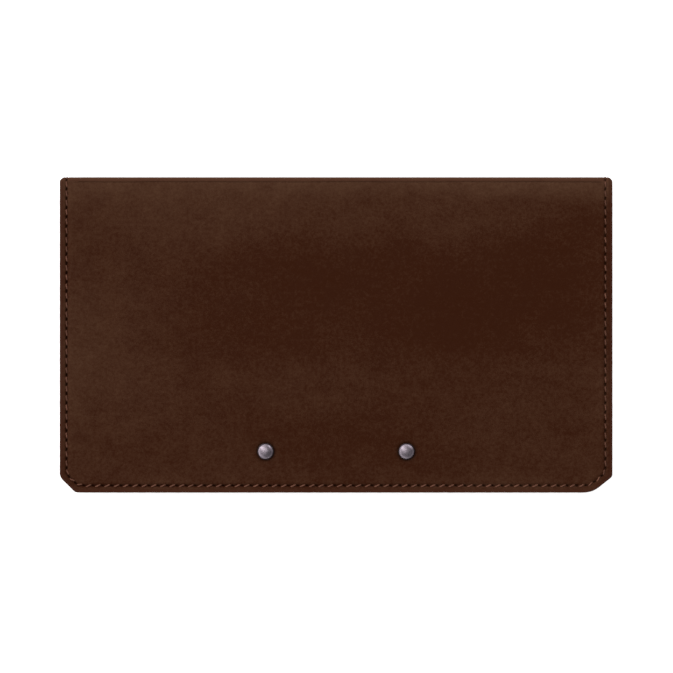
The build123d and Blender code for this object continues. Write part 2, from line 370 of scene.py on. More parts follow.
def even_steps(line, step):
    """Places at even steps along a line, and the directions to its left."""
    total = lengths_along(line)[-1]
    return walk(line, np.linspace(0, total, max(round(total / step), 2) + 1))


def straight(start, end, step):
    """Places at even steps along a straight line, and the directions to its left."""
    return even_steps(np.array([start, end]), step)


def turns(sides):
    """Even angles all the way round."""
    return np.arange(sides) * 2 * math.pi / sides


def arc(centre, radius, first, last, parts=10):
    """Points of an arc between two angles."""
    angles = np.linspace(first, last, parts + 1)
    return np.column_stack([centre[0] + radius * np.cos(angles), centre[1] + radius * np.sin(angles)])


def full_circle(centre, radius, parts):
    """Points all the way round, with no point twice."""
    return arc(centre, radius, 0, 2 * math.pi, parts)[:-1]


def panel_rounds(inset):
    """The radii of a panel's corners, for a line inset from its cut edges."""
    sizes = cover()
    smallest = 0.8 * MM
    rounds = sizes.left_upper_round, sizes.left_lower_round, sizes.right_lower_round, sizes.right_upper_round
    return [max(bend - inset, smallest) for bend in rounds]


def trace(corners, bends, step):
    """Even steps along an outline whose corners are rounded."""
    line = [np.array([corners[0]])]
    for before, corner, after, bend in zip(corners, corners[1:], corners[2:], bends):
        first = np.subtract(corner, before) / math.dist(corner, before)
        second = np.subtract(after, corner) / math.dist(after, corner)
        turn = math.acos(float(np.clip(first @ second, -1, 1)))
        inward = np.array([-first[1], first[0]])
        centre = np.array(corner) - first * bend * math.tan(turn / 2) + inward * bend
        begin = math.atan2(-inward[1], -inward[0])
        line.append(arc(centre, bend, begin, begin + turn, 8))
    line.append(np.array([corners[-1]]))
    return even_steps(np.concatenate(line), step)


def side_line(inset, top, step):
    """A line round a panel, inset from its cut edges, from one end of its top to the other."""
    return trace(shifted(panel_corners(top), inset), panel_rounds(inset), step)


def closed_rim(side, inward, closing=None, step=1.0 * MM):
    """A closed rim: an open side, and a closing line from its end to its start. Without a line of its own
    the closing is straight and flush with a neighbour, so it isn't rounded."""
    if closing is None:
        places, _ = straight(side[-1], side[0], step)
        return np.concatenate([side, places[1:-1]]), np.concatenate([inward, 0 * places[1:-1]])
    places, turned = even_steps(closing, step)
    inward = inward.copy()
    inward[0] += turned[-1]
    inward[-1] += turned[0]
    return np.concatenate([side, places[1:-1]]), np.concatenate([inward, turned[1:-1]])


def staggered(left, right, bottom, top, gap):
    """Staggered rows of places over a rectangle, at the corners of triangles with nearly equal sides."""
    row_gap = 0.87 * gap
    rows = np.arange(bottom, top, row_gap)
    return np.array(
        [(u, v) for row, v in enumerate(rows) for u in np.arange(left + gap / 2 * (row % 2), right, gap)]
    )


def rows_across(values, gap):
    """Rows of places along the fold, one for each v."""
    across = np.arange(-HALF_WIDTH + gap / 2, HALF_WIDTH, gap)
    return np.array([(u, v) for v in values for u in across])


def beside(line, offsets):
    """Rows of places on both sides of a line of places."""
    places, left = line
    return np.concatenate([places + left * offset for offset in offsets])


def seam_rows(top):
    """Rows of places along the edge seam of a panel that reaches up to top."""
    seams = sewing()
    return beside(side_line(seams.inset, top, seams.pitch / STEPS_PER_STITCH), SEAM_OFFSETS)


def inside_of(places, depth, margin=EDGE_MARGIN):
    """Only the places that keep a margin from a sheet's edges."""
    return places[depth(places[:, 0], places[:, 1]) > margin]


# Needle holes


class Seam:
    """Needle holes in the flat pattern: their places, and the direction that the sewing runs."""

    def __init__(self, places, runs):
        self.places = places
        self.runs = runs

    def pits(self, places, slant):
        """How deep each place lies in a needle hole, from 0 to 1."""
        seams = sewing()
        reach = 3 * seams.hole_length
        deepest = np.zeros(len(places))
        for centre, run in zip(self.places, self.runs):
            near = np.flatnonzero(np.abs(places - centre).max(axis=1) < reach)
            if not len(near):
                continue
            angle = math.atan2(run[1], run[0]) + slant
            along = np.array([math.cos(angle), math.sin(angle)])
            offset = places[near] - centre
            a = offset @ along / seams.hole_length
            b = offset @ np.array([-along[1], along[0]]) / seams.hole_width
            deepest[near] = np.maximum(deepest[near], np.exp(-(a**4) - np.abs(b) ** 3))
        return deepest


def holes_along(line, first, pitch):
    """Holes at an even pitch along a line, from the first of them on."""
    marks = np.arange(first, lengths_along(line)[-1] + pitch * 0.01, pitch)
    places, left = walk(line, marks)
    return Seam(places, -left_of(left))


def edge_seam():
    """The seam round a panel, from the middle of the spine on the left to the same on the right."""
    seams = sewing()
    line, _ = side_line(seams.inset, SPINE_MIDDLE, 0.1 * MM)
    total = lengths_along(line)[-1]
    pitch = total / round(total / seams.pitch)
    return holes_along(line, pitch / 2, pitch)


def inner_seam():
    """The same seam where it comes out inside, with no hole in the corner of the fold."""
    outer = edge_seam()
    u, v = outer.places.T
    from_lining, from_spine = 0.8 * MM, 0.6 * MM
    to_middle = SPINE_MIDDLE - v
    on_spine = to_middle < SPINE_RUN / 2 - 1 * MM
    to_middle = np.minimum(to_middle, TOP / 2 - SHELL - from_lining)
    inside_v = np.where(on_spine, INNER_MIDDLE - to_middle, v)
    keep = on_spine | (v < SPINE_INSIDE - from_spine)
    return Seam(np.column_stack([u, inside_v])[keep], outer.runs[keep])


def line_seam(start, end):
    """A straight seam from one place to another."""
    line = np.array([start, end])
    total = math.dist(start, end)
    return holes_along(line, 0, total / round(total / sewing().pitch))


# Sheets of leather


def enclosed(rim, places):
    """Which places lie inside a closed rim."""
    u, v = places[:, :1], places[:, 1:]
    after = np.roll(rim, -1, axis=0)
    crossed = (rim[:, 1] > v) != (after[:, 1] > v)
    rise = np.where(after[:, 1] == rim[:, 1], 1, after[:, 1] - rim[:, 1])
    crossing = rim[:, 0] + (v - rim[:, 1]) * (after[:, 0] - rim[:, 0]) / rise
    return (crossed & (u < crossing)).sum(axis=1) % 2 == 1


def hoops(rows, count, start=0):
    """Faces between closed rows of points that follow one another, with count points in each."""
    return [
        (base + at, base + after, base + count + after, base + count + at)
        for base in range(start, start + (rows - 1) * count, count)
        for at, after in zip(range(count), [*range(1, count), 0])
    ]


def fill(rim, inner):
    """Triangles over everything inside a closed rim, through the inner places. Indices count the rim first.
    The triangulation reaches out to the rim's hull, so triangles between rim places only are tested again."""
    count = len(rim)
    points = np.concatenate([rim, inner])
    edges = [(at, (at + 1) % count) for at in range(count)]
    result = delaunay_2d_cdt([Vector(point) for point in points], edges, [], 1, 1e-8, True)
    sources = np.array([source[0] if source else -1 for source in result[3]])
    faces = sources[np.array(result[2])]
    faces = faces[faces.min(axis=1) >= 0]
    on_rim = np.flatnonzero(faces.max(axis=1) < count)
    outside = on_rim[~enclosed(rim, points[faces[on_rim]].mean(axis=1))]
    return np.delete(faces, outside, axis=0).tolist()


def edge_rows(thickness):
    """The profile of a cut edge, from its far face up: insets, and depths below the near face."""
    rounding = min(cover().edge_round, thickness / 2)
    far, bevel = 0.12 * MM, 0.03 * MM
    rows = [(far, thickness), (bevel, thickness - bevel), (0, thickness - far)]
    rows.append((0, (thickness - far + rounding) / 2))
    for part in range(6):
        angle = math.pi / 2 * part / 5
        rows.append((rounding * (1 - math.cos(angle)), rounding * (1 - math.sin(angle))))
    return rows


def worn_margin(u, v):
    """How far the colour of the cut edge has spread over the margin beside it and over the fold."""
    margin = 0.65 * (1 - smooth(panel_depth(u, v), 0.4 * MM, 1.8 * MM))
    fold = band(v, FOLD_Y - 0.6 * MM, FOLD_Y, FOLD_Y + NOSE, FOLD_Y + 2 * NOSE)
    return np.maximum(margin, 0.4 * fold)


def no_drape(places):
    """A sheet that lies at one level."""
    return np.zeros(len(places))


def sheet(name, rim, inward, inner, far_inner, thickness, surface, place, pattern, drape=no_drape):
    """A closed sheet of leather between a near face and a far one. surface gives its lift, rub and shade,
    place puts a flat place and a height in space, and drape raises both faces."""
    sizes = cover()
    wander = sizes.edge_rough * ripple(rim[:, 0], pattern(rim)[:, 1], 1.1 * MM)
    rows = edge_rows(thickness)
    count = len(rim)
    places, drops = [], []
    for inset, drop in rows:
        places.append(rim + inward * (inset + wander[:, None]))
        drops.append(np.full(count, drop))
    faces = hoops(len(rows), count)
    top_start = (len(rows) - 1) * count
    far_skip = top_start + len(inner)
    faces += [[top_start + at for at in corners] for corners in fill(places[-1], inner)]
    for corners in fill(places[0], far_inner):
        faces.append([at if at < count else far_skip + at for at in reversed(corners)])
    places = np.concatenate([*places, inner, far_inner])
    drops = np.concatenate([*drops, np.zeros(len(inner)), np.full(len(far_inner), thickness)])
    lift, rub_and_sheen, shade = surface(places)
    heights = lift * (1 - drops / thickness) - drops
    wall = np.clip(drops / sizes.edge_round, 0, 1)
    points = place(places[:, 0], places[:, 1], heights + drape(places))
    cut_edge = np.maximum(wall, worn_margin(places[:, 0], places[:, 1]))
    values = {"rub_and_sheen": rub_and_sheen * (1 - wall), "shade": shade * (1 - wall), "cut_edge": cut_edge}
    return make_mesh(name, points, faces, np.column_stack([pattern(places), heights]), values)


def make_mesh(name, points, faces, texture, values, sharp=50):
    """A closed smooth mesh that keeps its texture's places and its values on its points."""
    mesh = bpy.data.meshes.new(name)
    mesh.from_pydata(points.tolist(), [], [tuple(face) for face in faces])
    where = mesh.attributes.new("pattern", "FLOAT_VECTOR", "POINT")
    where.data.foreach_set("vector", texture.astype(np.float32).ravel())
    for key, value in values.items():
        layer = mesh.attributes.new(key, "FLOAT", "POINT")
        layer.data.foreach_set("value", np.clip(value, 0, 1).astype(np.float32))
    shape = bmesh.new()
    shape.from_mesh(mesh)
    bmesh.ops.remove_doubles(shape, verts=shape.verts, dist=WELD)
    loose = [point for point in shape.verts if not point.link_faces]
    bmesh.ops.delete(shape, geom=loose, context="VERTS")
    bmesh.ops.recalc_face_normals(shape, faces=shape.faces)
    shape.to_mesh(mesh)
    shape.free()
    mesh.shade_smooth()
    mesh.set_sharp_from_angle(angle=math.radians(sharp))
    piece = bpy.data.objects.new(name, mesh)
    bpy.context.scene.collection.objects.link(piece)
    return piece


# Places in space


def pivot_level(facing):
    """The level of the fold that joins the front (1) or the back (-1) to the spine."""
    return TOP - FOLD_RADIUS if facing > 0 else FOLD_RADIUS


def outer_wrap(facing):
    """Places on the outer leather, which turns round the fold and runs down the spine. Its far face meets
    itself in a blunt corner past the fold's line."""
    corner = 0.06 * MM

    def place(u, v, height):
        radius = FOLD_RADIUS + height
        turn = np.clip((v - FOLD_Y) / FOLD_RADIUS, 0, math.pi / 2)
        run = np.maximum(v - FOLD_Y - NOSE, 0)
        past = np.minimum(radius, 0)
        blunt = np.where(past < 0, corner, 0)
        way = np.clip((v - FOLD_Y - past + blunt) / (NOSE + 2 * (blunt - past)), 0, 1)
        y = np.where(v > FOLD_Y, FOLD_Y + radius * np.sin(turn), v)
        y = np.minimum(y, FOLD_Y + radius - blunt * (1 - way))
        rise = np.minimum(radius * np.cos(turn) - run, radius - blunt * way)
        return np.column_stack([u, y, pivot_level(facing) + facing * rise])

    return place


def inner_wrap(facing, stack=None):
    """Places on the lining, which turns into the corner and runs along the spine's inside."""

    def place(u, v, height):
        if stack is not None:
            height = height + stack(u, v)
        turn = np.clip((v - INNER_FOLD) / INNER_BEND, 0, math.pi / 2)
        run = np.maximum(v - INNER_FOLD - INNER_ARC, 0)
        square = np.maximum(np.cos(turn), np.sin(turn))
        reach = INNER_BEND - height * ((INNER_BEND + LINING) / square - INNER_BEND) / LINING
        y = np.where(v > INNER_FOLD, INNER_FOLD + reach * np.sin(turn), v)
        rise = reach * np.cos(turn) - run - FOLD_RADIUS - INNER_BEND
        return np.column_stack([u, y, pivot_level(facing) + facing * rise])

    return place


def flat_on(level, facing):
    """Places on a flat sheet whose near face lies at a level and faces up (1) or down (-1)."""

    def place(u, v, height):
        return np.column_stack([u, v, level + facing * height])

    return place


def upright_on(level, facing):
    """Places on the spine, where v rises from its middle and its face looks along Y."""

    def place(u, v, height):
        return np.column_stack([u, level + facing * height, TOP / 2 + v])

    return place


def hide_of(facing, middle, shift=0.0):
    """Places in the hide, so that one piece's clouds run on into the next over the spine. A shift takes the
    piece from another part of the hide."""

    def pattern(places):
        return np.column_stack([places[:, 0] + shift, facing * (middle - places[:, 1])])

    return pattern


# The wrapped leathers


def paler_patches(u, v, facing):
    """Where the hide is paler: partly its own clouded tone and partly a painted sheen of the light from the
    upper left, along the fold, at the left and a little below.
    """
    u = facing * u
    sway = 3 * MM * ripple(u, 0.6 * v, 15 * MM)
    fade = 1 - 0.65 * smooth(u, 25 * MM, 92 * MM) - 0.45 * smooth(-u, 55 * MM, 90 * MM)
    upper_part = smooth(v + sway, 22 * MM, 44 * MM) * (fade + (1 - fade) * smooth(v, 44 * MM, 48 * MM))
    beside_fold = (0.22 + 0.22 * smooth(u, -60 * MM, 20 * MM)) * smooth(v + 0.4 * sway, 45 * MM, 53 * MM)
    left_patch = np.exp(-(((u + 90 * MM) / (38 * MM)) ** 2) - ((v + 2 * MM) / (34 * MM)) ** 2)
    left_part = smooth(-u, -10 * MM, 40 * MM)
    low_part = 0.12 * smooth(-v, 3 * MM, 14 * MM)
    low_part += 0.1 * smooth(u, -60 * MM, 0) * smooth(-v, -12 * MM, 16 * MM)
    dark_foot = smooth(-v, 22 * MM, 32 * MM) * np.exp(-((u / (38 * MM)) ** 2))
    pale = 0.36 * upper_part + beside_fold + 0.34 * left_patch
    return pale + 0.04 * left_part + low_part * (1 - 0.6 * dark_foot)


def hole_slant(facing):
    """The turn of the needle holes against the seam, seen in the flat pattern."""
    return -facing * math.radians(sewing().hole_turn)


def seam_marks(places, seam, facing):
    """For flat places: u and v, how deep they lie in the panel, and the edge seam's dip and needle holes."""
    u, v = places.T
    depth = panel_depth(u, v)
    groove = ridge(depth, sewing().inset, sewing().groove_width)
    return u, v, depth, groove, seam.pits(places, hole_slant(facing))


# Marks on the outer leather, each from 0 to 1


def fold_line(u, v, depth):
    """The line pressed beside the fold, which ends before the seam."""
    line_at = FOLD_Y - 0.5 * MM + 0.1 * MM * ripple(u, 0 * u, 9 * MM)
    return ridge(v, line_at, 0.2 * MM) * smooth(depth, 2.6 * MM, 4.5 * MM)


def at_side(u):
    """The strips along the two sides."""
    return smooth(np.abs(u), HALF_WIDTH - 6 * MM, HALF_WIDTH - 3 * MM)


def side_mark(u, v, depth):
    """The faint line between the seam and the cut edge of a side."""
    return at_side(u) * ridge(depth, 1.1 * MM + 0.12 * MM * ripple(u, v, 6 * MM), 0.16 * MM)


def worn_end(u, v):
    """The two ends of the fold, which are worn down."""
    beside_end = np.clip(1 - (HALF_WIDTH - np.abs(u)) / (1.6 * MM), 0, 1) ** 2
    return beside_end * smooth(v, FOLD_Y - 1 * MM, FOLD_Y + 0.7 * NOSE)


def rivet_dent(u, v, rivets):
    """The dip in the leather round each rivet."""
    dent = 0 * u
    for centre_u, centre_v, radius in rivets:
        reach = np.hypot(u - centre_u, v - centre_v)
        dent = np.maximum(dent, ridge(reach, radius + 0.1 * MM, 0.5 * MM))
    return dent


def outer_surface(seam, facing, rivets=()):
    """Lift, rub and shade of the outer leather: seam, holes, swelling, fold lines and rivet dents. The rub is
    wear with painted sheen and highlights in it, and the shade is painted shade in the hollows, round the
    rivets and where the fold turns away, with a darker line along the sides.
    """
    sizes, seams = cover(), sewing()

    def surface(places):
        u, v, depth, groove, pits = seam_marks(places, seam, facing)
        inside = depth - seams.inset
        on_panel = 1 - smooth(v, FOLD_Y - 7 * MM, FOLD_Y - 1 * MM)
        to_right = smooth(u, -80 * MM, 80 * MM)
        swell = smooth(inside, 0.2 * MM, 1.5 * MM) * np.exp(-np.maximum(inside, 0) / (4.5 * MM))
        wave = ripple(u, facing * v, 14 * MM) * smooth(inside, 1 * MM, 8 * MM)
        crease = fold_line(u, v, depth)
        dent = rivet_dent(u, v, rivets)
        lift = -seams.groove_depth * groove - seams.hole_depth * pits - sizes.crease_depth * crease
        lift += (sizes.puff * swell + sizes.wave * wave) * on_panel
        lift -= 1.0 * MM * worn_end(u, v) + 0.2 * MM * dent

        # Painted highlight on the fold's strip where it faces up, on top of its wear, and on the swelling
        # beside the seam; the paler patches add a painted sheen.
        nose = band(v, FOLD_Y - 0.45 * MM, FOLD_Y, FOLD_Y + 0.6 * NOSE, FOLD_Y + 1.3 * NOSE)
        rub_and_sheen = paler_patches(u, v, facing) + 0.55 * nose + 0.12 * swell * on_panel
        rub_and_sheen += 0.1 * (1 - smooth(depth, 0.2 * MM, 2 * MM))
        rub_and_sheen += 0.15 * (1 - at_side(u)) * (1 - smooth(depth, 1.5 * MM, 2.2 * MM))
        # Painted light and shade along the seam's groove: lighter at the right, darker at the left.
        rub_and_sheen += 0.4 * (to_right - 0.5) * groove

        # Painted shade in the needle holes, the groove, the fold line and round the rivets, and where the
        # fold turns away from the light.
        turned_away = band(v, FOLD_Y + 0.55 * NOSE, FOLD_Y + 0.85 * NOSE, FOLD_Y + NOSE, FOLD_Y + 1.8 * NOSE)
        shade = darkest(
            (0.88 - 0.22 * to_right) * pits,
            (0.34 - 0.3 * to_right) * groove,
            (0.3 + 0.12 * ripple(u, 0 * u, 12 * MM)) * crease,
            0.34 * side_mark(u, v, depth),
            0.4 * turned_away,
            0.7 * dent,
        )
        return lift, rub_and_sheen, shade

    return surface


def pinched(v):
    """Where the lining draws in, from 0 to 1 in the corner of the fold."""
    return ridge(v, INNER_FOLD + INNER_ARC / 2, 0.36 * MM)


def lining_surface(seam, facing):
    """Lift, rub and shade of the lining: seam, holes, and the pinch in the corner of the fold."""
    sizes, seams = cover(), sewing()

    def surface(places):
        u, v, depth, groove, pits = seam_marks(places, seam, facing)
        pinch = pinched(v)
        on_panel = 1 - smooth(v, SPINE_INSIDE - 6 * MM, SPINE_INSIDE - 1 * MM)
        lift = -seams.groove_depth * groove - 0.5 * seams.hole_depth * pits - sizes.pinch * pinch
        wave = ripple(u, facing * v, 11 * MM) * smooth(depth, 3 * MM, 8 * MM)
        lift += 0.4 * sizes.wave * wave * on_panel
        wear_and_sheen = ridge(v, SPINE_INSIDE - 1.6 * MM, 1.3 * MM)
        rub_and_sheen = 0.4 * (1 - smooth(depth, 0.1 * MM, 1.2 * MM)) + 0.35 * wear_and_sheen
        return lift, rub_and_sheen, darkest(0.95 * pits, 0.25 * groove, 0.36 * pinch)

    return surface


def wrapped_sheet(name, facing, middle, bend_from, bend, thickness, surface, place, extra=()):
    """A panel's leather from its free edge round the fold to where the spine's own leather takes over."""
    sizes, seams = cover(), sewing()
    joint = middle - SPINE_PART
    rim, inward = closed_rim(*side_line(0, joint, EDGE_STEP))
    fine = np.arange(bend_from - 0.9 * MM, bend_from + bend + 0.5 * MM, FOLD_STEP)
    past = np.arange(fine[-1] + 0.4 * MM, joint, 0.6 * MM)
    fold = rows_across(np.append(fine, past), 1.2 * MM)
    middle_part = staggered(-HALF_WIDTH, HALF_WIDTH, FREE_EDGE, fine[0], sizes.panel_gap)
    parts = [
        seam_rows(joint),
        beside(side_line(seams.inset, joint, 1.2 * MM), np.array([2.5, 3.5]) * MM),
        beside(side_line(seams.inset, joint, 2.2 * MM), np.array([5.0, 7.0]) * MM),
        inside_of(fold, panel_depth, seams.inset + SEAM_OFFSETS[-1]),
        inside_of(middle_part, panel_depth, PANEL_MARGIN),
        *extra,
    ]

    def depth(u, v):
        return np.minimum(panel_depth(u, v), joint + JOINT_EASE - v)

    inner = inside_of(np.concatenate(parts), depth)
    far = inside_of(fold[::2], depth)
    pattern = hide_of(facing, middle)
    return sheet(name, rim, inward, inner, far, thickness, surface, place, pattern)


def spine_sheet(name, middle, thickness, surface, place):
    """The spine's own leather, between the leathers of the two panels. Its v rises from its middle."""
    seams = sewing()
    side, inward = straight((-HALF_WIDTH, SPINE_PART), (-HALF_WIDTH, -SPINE_PART), EDGE_STEP)
    joint, _ = straight(side[-1], (HALF_WIDTH, -SPINE_PART), 1.0 * MM)
    joint = joint[1:-1]
    rim = np.concatenate([side, joint, -side, -joint])
    inward = np.concatenate([inward, 0 * joint, -inward, 0 * joint])
    down = np.arange(-SPINE_PART, SPINE_PART, seams.pitch / STEPS_PER_STITCH)
    across = HALF_WIDTH - seams.inset - SEAM_OFFSETS
    lines = np.array([(sign * u, v) for sign in (-1, 1) for u in across for v in down])
    inner = np.concatenate([lines, rows_across(np.arange(-SPINE_PART, SPINE_PART, 0.8 * MM), 2.1 * MM)])

    def depth(u, v):
        return np.minimum(HALF_WIDTH - np.abs(u), SPINE_PART + JOINT_EASE - np.abs(v))

    def on_spine(places):
        return surface(np.column_stack([places[:, 0], middle - np.abs(places[:, 1])]))

    inner = inside_of(inner, depth)
    none = np.zeros((0, 2))
    return sheet(name, rim, inward, inner, none, thickness, on_spine, place, np.array)


def bends(piece, facing, reach):
    """Bakes a piece's place into its mesh."""
    level = pivot_level(facing)
    if facing > 0:
        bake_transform(piece)
    else:
        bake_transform(piece)


def dress(piece, material, slot, *nodes):
    """Gives a piece its material, and lets it stand for CAD nodes. The slot is not used."""
    piece.data.materials.append(material)
    if nodes:
        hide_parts(*nodes)
    return piece


def make_outer_leather():
    """Front, spine and back leather, which is one hide in looks."""
    seam = edge_seam()
    centres = rivet_centres()
    bend = (SPINE_MIDDLE, FOLD_Y, NOSE, COVER)
    for facing, side in SIDES:
        surface = outer_surface(seam, facing, centres if facing > 0 else ())
        extra = [rings_round(centres)] if facing > 0 else ()
        leather = wrapped_sheet(side + "_leather", facing, *bend, surface, outer_wrap(facing), extra)
        dress(leather, outer_leather(), "outer_leather", side + "_cover")
        bends(leather, facing, OUTER_BLEND)
    face = upright_on(FOLD_Y + FOLD_RADIUS, 1)
    spine = spine_sheet("spine_leather", SPINE_MIDDLE, COVER, outer_surface(seam, 1), face)
    dress(spine, outer_leather(), "outer_leather", "spine_cover")
    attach(spine, "spine")


def make_linings():
    """Front, spine and back lining."""
    seam = inner_seam()
    bend = (INNER_MIDDLE, INNER_FOLD, INNER_ARC, LINING)
    for facing, side in SIDES:
        name = side + "_lining"
        surface = lining_surface(seam, facing)
        lining = wrapped_sheet(name + "_leather", facing, *bend, surface, inner_wrap(facing))
        dress(lining, inner_leather(), "lining_leather", name)
        bends(lining, facing, LINING_BLEND)
    face = upright_on(SPINE_INSIDE, -1)
    spine = spine_sheet("spine_lining_leather", INNER_MIDDLE, LINING, lining_surface(seam, 1), face)
    dress(spine, inner_leather(), "lining_leather", "spine_lining")
    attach(spine, "spine")


# The pockets


def pocket_stack(u, v):
    """How far the checkbook pocket's face stands off the back lining: less where its seam pulls it down."""
    pulled = 1 - smooth(panel_depth(u, v), 3 * MM, 6.5 * MM)
    return POCKET_LEATHER + POCKET_SLACK * (1 - pulled)


def tier_stack(tier, u, v):
    """How far a card tier's face stands off the front lining: less where seams pull it down."""
    count = tier + 1
    edge = 1 - smooth(panel_depth(u, v), 3 * MM, 7 * MM)
    foot = smooth(v, FOOT_SEAM - 4 * MM, FOOT_SEAM - 0.6 * MM)
    centre = tier * (1 - smooth(np.abs(u), 0.8 * MM, 5 * MM))
    tight = np.maximum(count * np.maximum(edge, foot), centre)
    return count * TIER_THICKNESS - TIER_SLACK * tight


def tier_mouths():
    """Where each card tier begins, from the free edge up."""
    return [low(node, Y) for node in CARD_TIERS]


def up_to(v, edge):
    """1 on a pocket's leather and 0 past its edge, with a step over which a thread comes down."""
    return 1 - smooth(v, edge - THREAD_ON_EDGE, edge + THREAD_OFF_EDGE)


def under_front_seam(u, v):
    """How far the leather under a seam inside the front stands off the lining, which draws in at the fold."""
    height, lower = 0 * u, 0 * u
    for tier, mouth in enumerate(tier_mouths()):
        face = tier_stack(tier, u, v)
        height = height + (face - lower) * smooth(v, mouth - THREAD_OFF_EDGE, mouth + THREAD_ON_EDGE)
        lower = face
    return height * up_to(v, TIER_ROOT) - cover().pinch * pinched(v)


def under_back_seam(u, v):
    """How far the leather under a seam inside the back stands off the lining, which draws in at the fold."""
    return pocket_stack(u, v) * up_to(v, POCKET_MOUTH) - cover().pinch * pinched(v)


def pocket_surface(seam, facing, mouth, extra_seams=()):
    """Lift, rub and shade of a pocket's leather: its seams, and the creased line along its mouth."""
    sizes, seams = cover(), sewing()

    def surface(places):
        u, v, depth, groove, pits = seam_marks(places, seam, facing)
        for other, distance in extra_seams:
            groove = np.maximum(groove, ridge(distance(u, v), 0, seams.groove_width))
            pits = np.maximum(pits, other.pits(places, hole_slant(facing)))
        from_mouth = mouth(u, v)
        crease = ridge(from_mouth, 1.7 * MM, 0.2 * MM) * smooth(depth, 0.6 * MM, 1.6 * MM)
        lift = -seams.groove_depth * groove - 0.5 * seams.hole_depth * pits
        lift -= 0.6 * sizes.crease_depth * crease
        lift += 0.5 * sizes.wave * ripple(u, 1.3 * v, 13 * MM) * smooth(depth, 3 * MM, 8 * MM)
        rub_and_sheen = 0.45 * (1 - smooth(depth, 0.1 * MM, 1.2 * MM))
        rub_and_sheen = np.maximum(rub_and_sheen, 0.75 * (1 - smooth(from_mouth, 0.1 * MM, 1.5 * MM)))
        rub_and_sheen += 0.3 * ridge(from_mouth, 5 * MM, 4 * MM)
        return lift, rub_and_sheen, darkest(0.95 * pits, 0.25 * groove, 0.6 * crease)

    return surface


def notch_line():
    """The checkbook pocket's mouth from right to left, with the thumb notch and its rounded lips."""
    sizes = cover()
    across = math.sqrt((sizes.notch_radius + sizes.notch_lip) ** 2 - sizes.notch_lip**2)
    dip = math.atan2(sizes.notch_lip, across)
    right = arc((across, POCKET_MOUTH - sizes.notch_lip), sizes.notch_lip, math.pi / 2, math.pi - dip)
    bowl = arc((0, POCKET_MOUTH), sizes.notch_radius, -dip, dip - math.pi, 48)
    left = right[::-1] * (-1, 1)
    ends = np.array([(HALF_WIDTH, POCKET_MOUTH)]), np.array([(-HALF_WIDTH, POCKET_MOUTH)])
    return np.concatenate([ends[0], right, bowl, left, ends[1]])


def from_notched_mouth(u, v):
    """How far a place lies below the checkbook pocket's notched mouth, with its rounded lips."""
    radius, lip = cover().notch_radius, cover().notch_lip
    lip_u = math.sqrt((radius + lip) ** 2 - lip**2)
    beyond = np.abs(u) - lip_u
    above = v - POCKET_MOUTH + lip
    on_lip = (beyond < 0) & (beyond * lip + above * lip_u > 0)
    below = np.minimum(POCKET_MOUTH - v, np.hypot(u, v - POCKET_MOUTH) - radius)
    return np.where(on_lip, lip - np.hypot(beyond, above), below)


def make_checkbook_pocket():
    """The pocket for the checkbook's card back, with its thumb notch."""
    side = side_line(0, POCKET_MOUTH, EDGE_STEP)
    rim, inward = closed_rim(*side, notch_line(), MOUTH_STEP)
    margin = beside(side_line(sewing().inset, POCKET_MOUTH, 1.4 * MM), np.array([2.5, 3.5, 5, 7]) * MM)
    mouth = beside(even_steps(notch_line(), 1.2 * MM), np.append(MOUTH_OFFSETS, 5 * MM))
    middle_part = staggered(-HALF_WIDTH, HALF_WIDTH, FREE_EDGE, POCKET_MOUTH, cover().panel_gap)
    middle_part = inside_of(middle_part, panel_depth, PANEL_MARGIN)

    def depth(u, v):
        return np.minimum(panel_depth(u, v), from_notched_mouth(u, v))

    inner = inside_of(np.concatenate([seam_rows(POCKET_MOUTH), margin, mouth, middle_part]), depth)
    far = inside_of(np.concatenate([margin, middle_part]), depth)
    surface = pocket_surface(inner_seam(), -1, from_notched_mouth)

    def drape(places):
        return pocket_stack(places[:, 0], places[:, 1])

    place = flat_on(SHELL, 1)
    pattern = hide_of(-1, SPINE_MIDDLE, POCKET_SHIFT)
    name = "checkbook_pocket_leather"
    pocket = sheet(name, rim, inward, inner, far, POCKET_LEATHER, surface, place, pattern, drape)
    dress(pocket, inner_leather(), "pocket_leather", "checkbook_pocket")
    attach(pocket, "back")


def centre_seam():
    """The seam that parts the cards into two columns."""
    return line_seam((0, tier_mouths()[1] + 0.8 * MM), (0, FOOT_SEAM))


def foot_seam():
    """The seam along the foot of the card tiers."""
    reach = HALF_WIDTH - sewing().inset - 1.2 * MM
    return line_seam((-reach, FOOT_SEAM), (reach, FOOT_SEAM))


def tier_rim(mouth):
    """A card tier's rim, with its two rounded corners at the mouth."""
    root_left, root_right = (-HALF_WIDTH, TIER_ROOT), (HALF_WIDTH, TIER_ROOT)
    corners = [root_left, (-HALF_WIDTH, mouth), (HALF_WIDTH, mouth), root_right]
    closing = np.array([root_right, root_left])
    return closed_rim(*trace(corners, (0.9 * MM, 0.9 * MM), MOUTH_STEP), closing)


def tier_details(tier, mouth, shown_to, last):
    """Fine places in the part of a card tier that shows, and the seams that cross it."""
    step = sewing().pitch / STEPS_PER_STITCH
    parts = [
        seam_rows(TIER_ROOT),
        beside(side_line(sewing().inset, TIER_ROOT, 1.4 * MM), np.array([2.5, 3.5, 5]) * MM),
        rows_across(mouth + MOUTH_OFFSETS, 1.5 * MM),
    ]
    crossing = []
    if tier > 0:
        offsets = np.append(SEAM_OFFSETS, np.array([-2.4, 2.6, -3.4, 3.6]) * MM)
        parts.append(beside(straight((0, mouth), (0, shown_to), step), offsets))
        crossing.append((centre_seam(), lambda u, v: u))
    if last:
        foot_line = straight((-HALF_WIDTH, FOOT_SEAM), (HALF_WIDTH, FOOT_SEAM), step)
        parts.append(beside(foot_line, SEAM_OFFSETS[1:]))
        crossing.append((foot_seam(), lambda u, v: v - FOOT_SEAM))
    return np.concatenate(parts), crossing


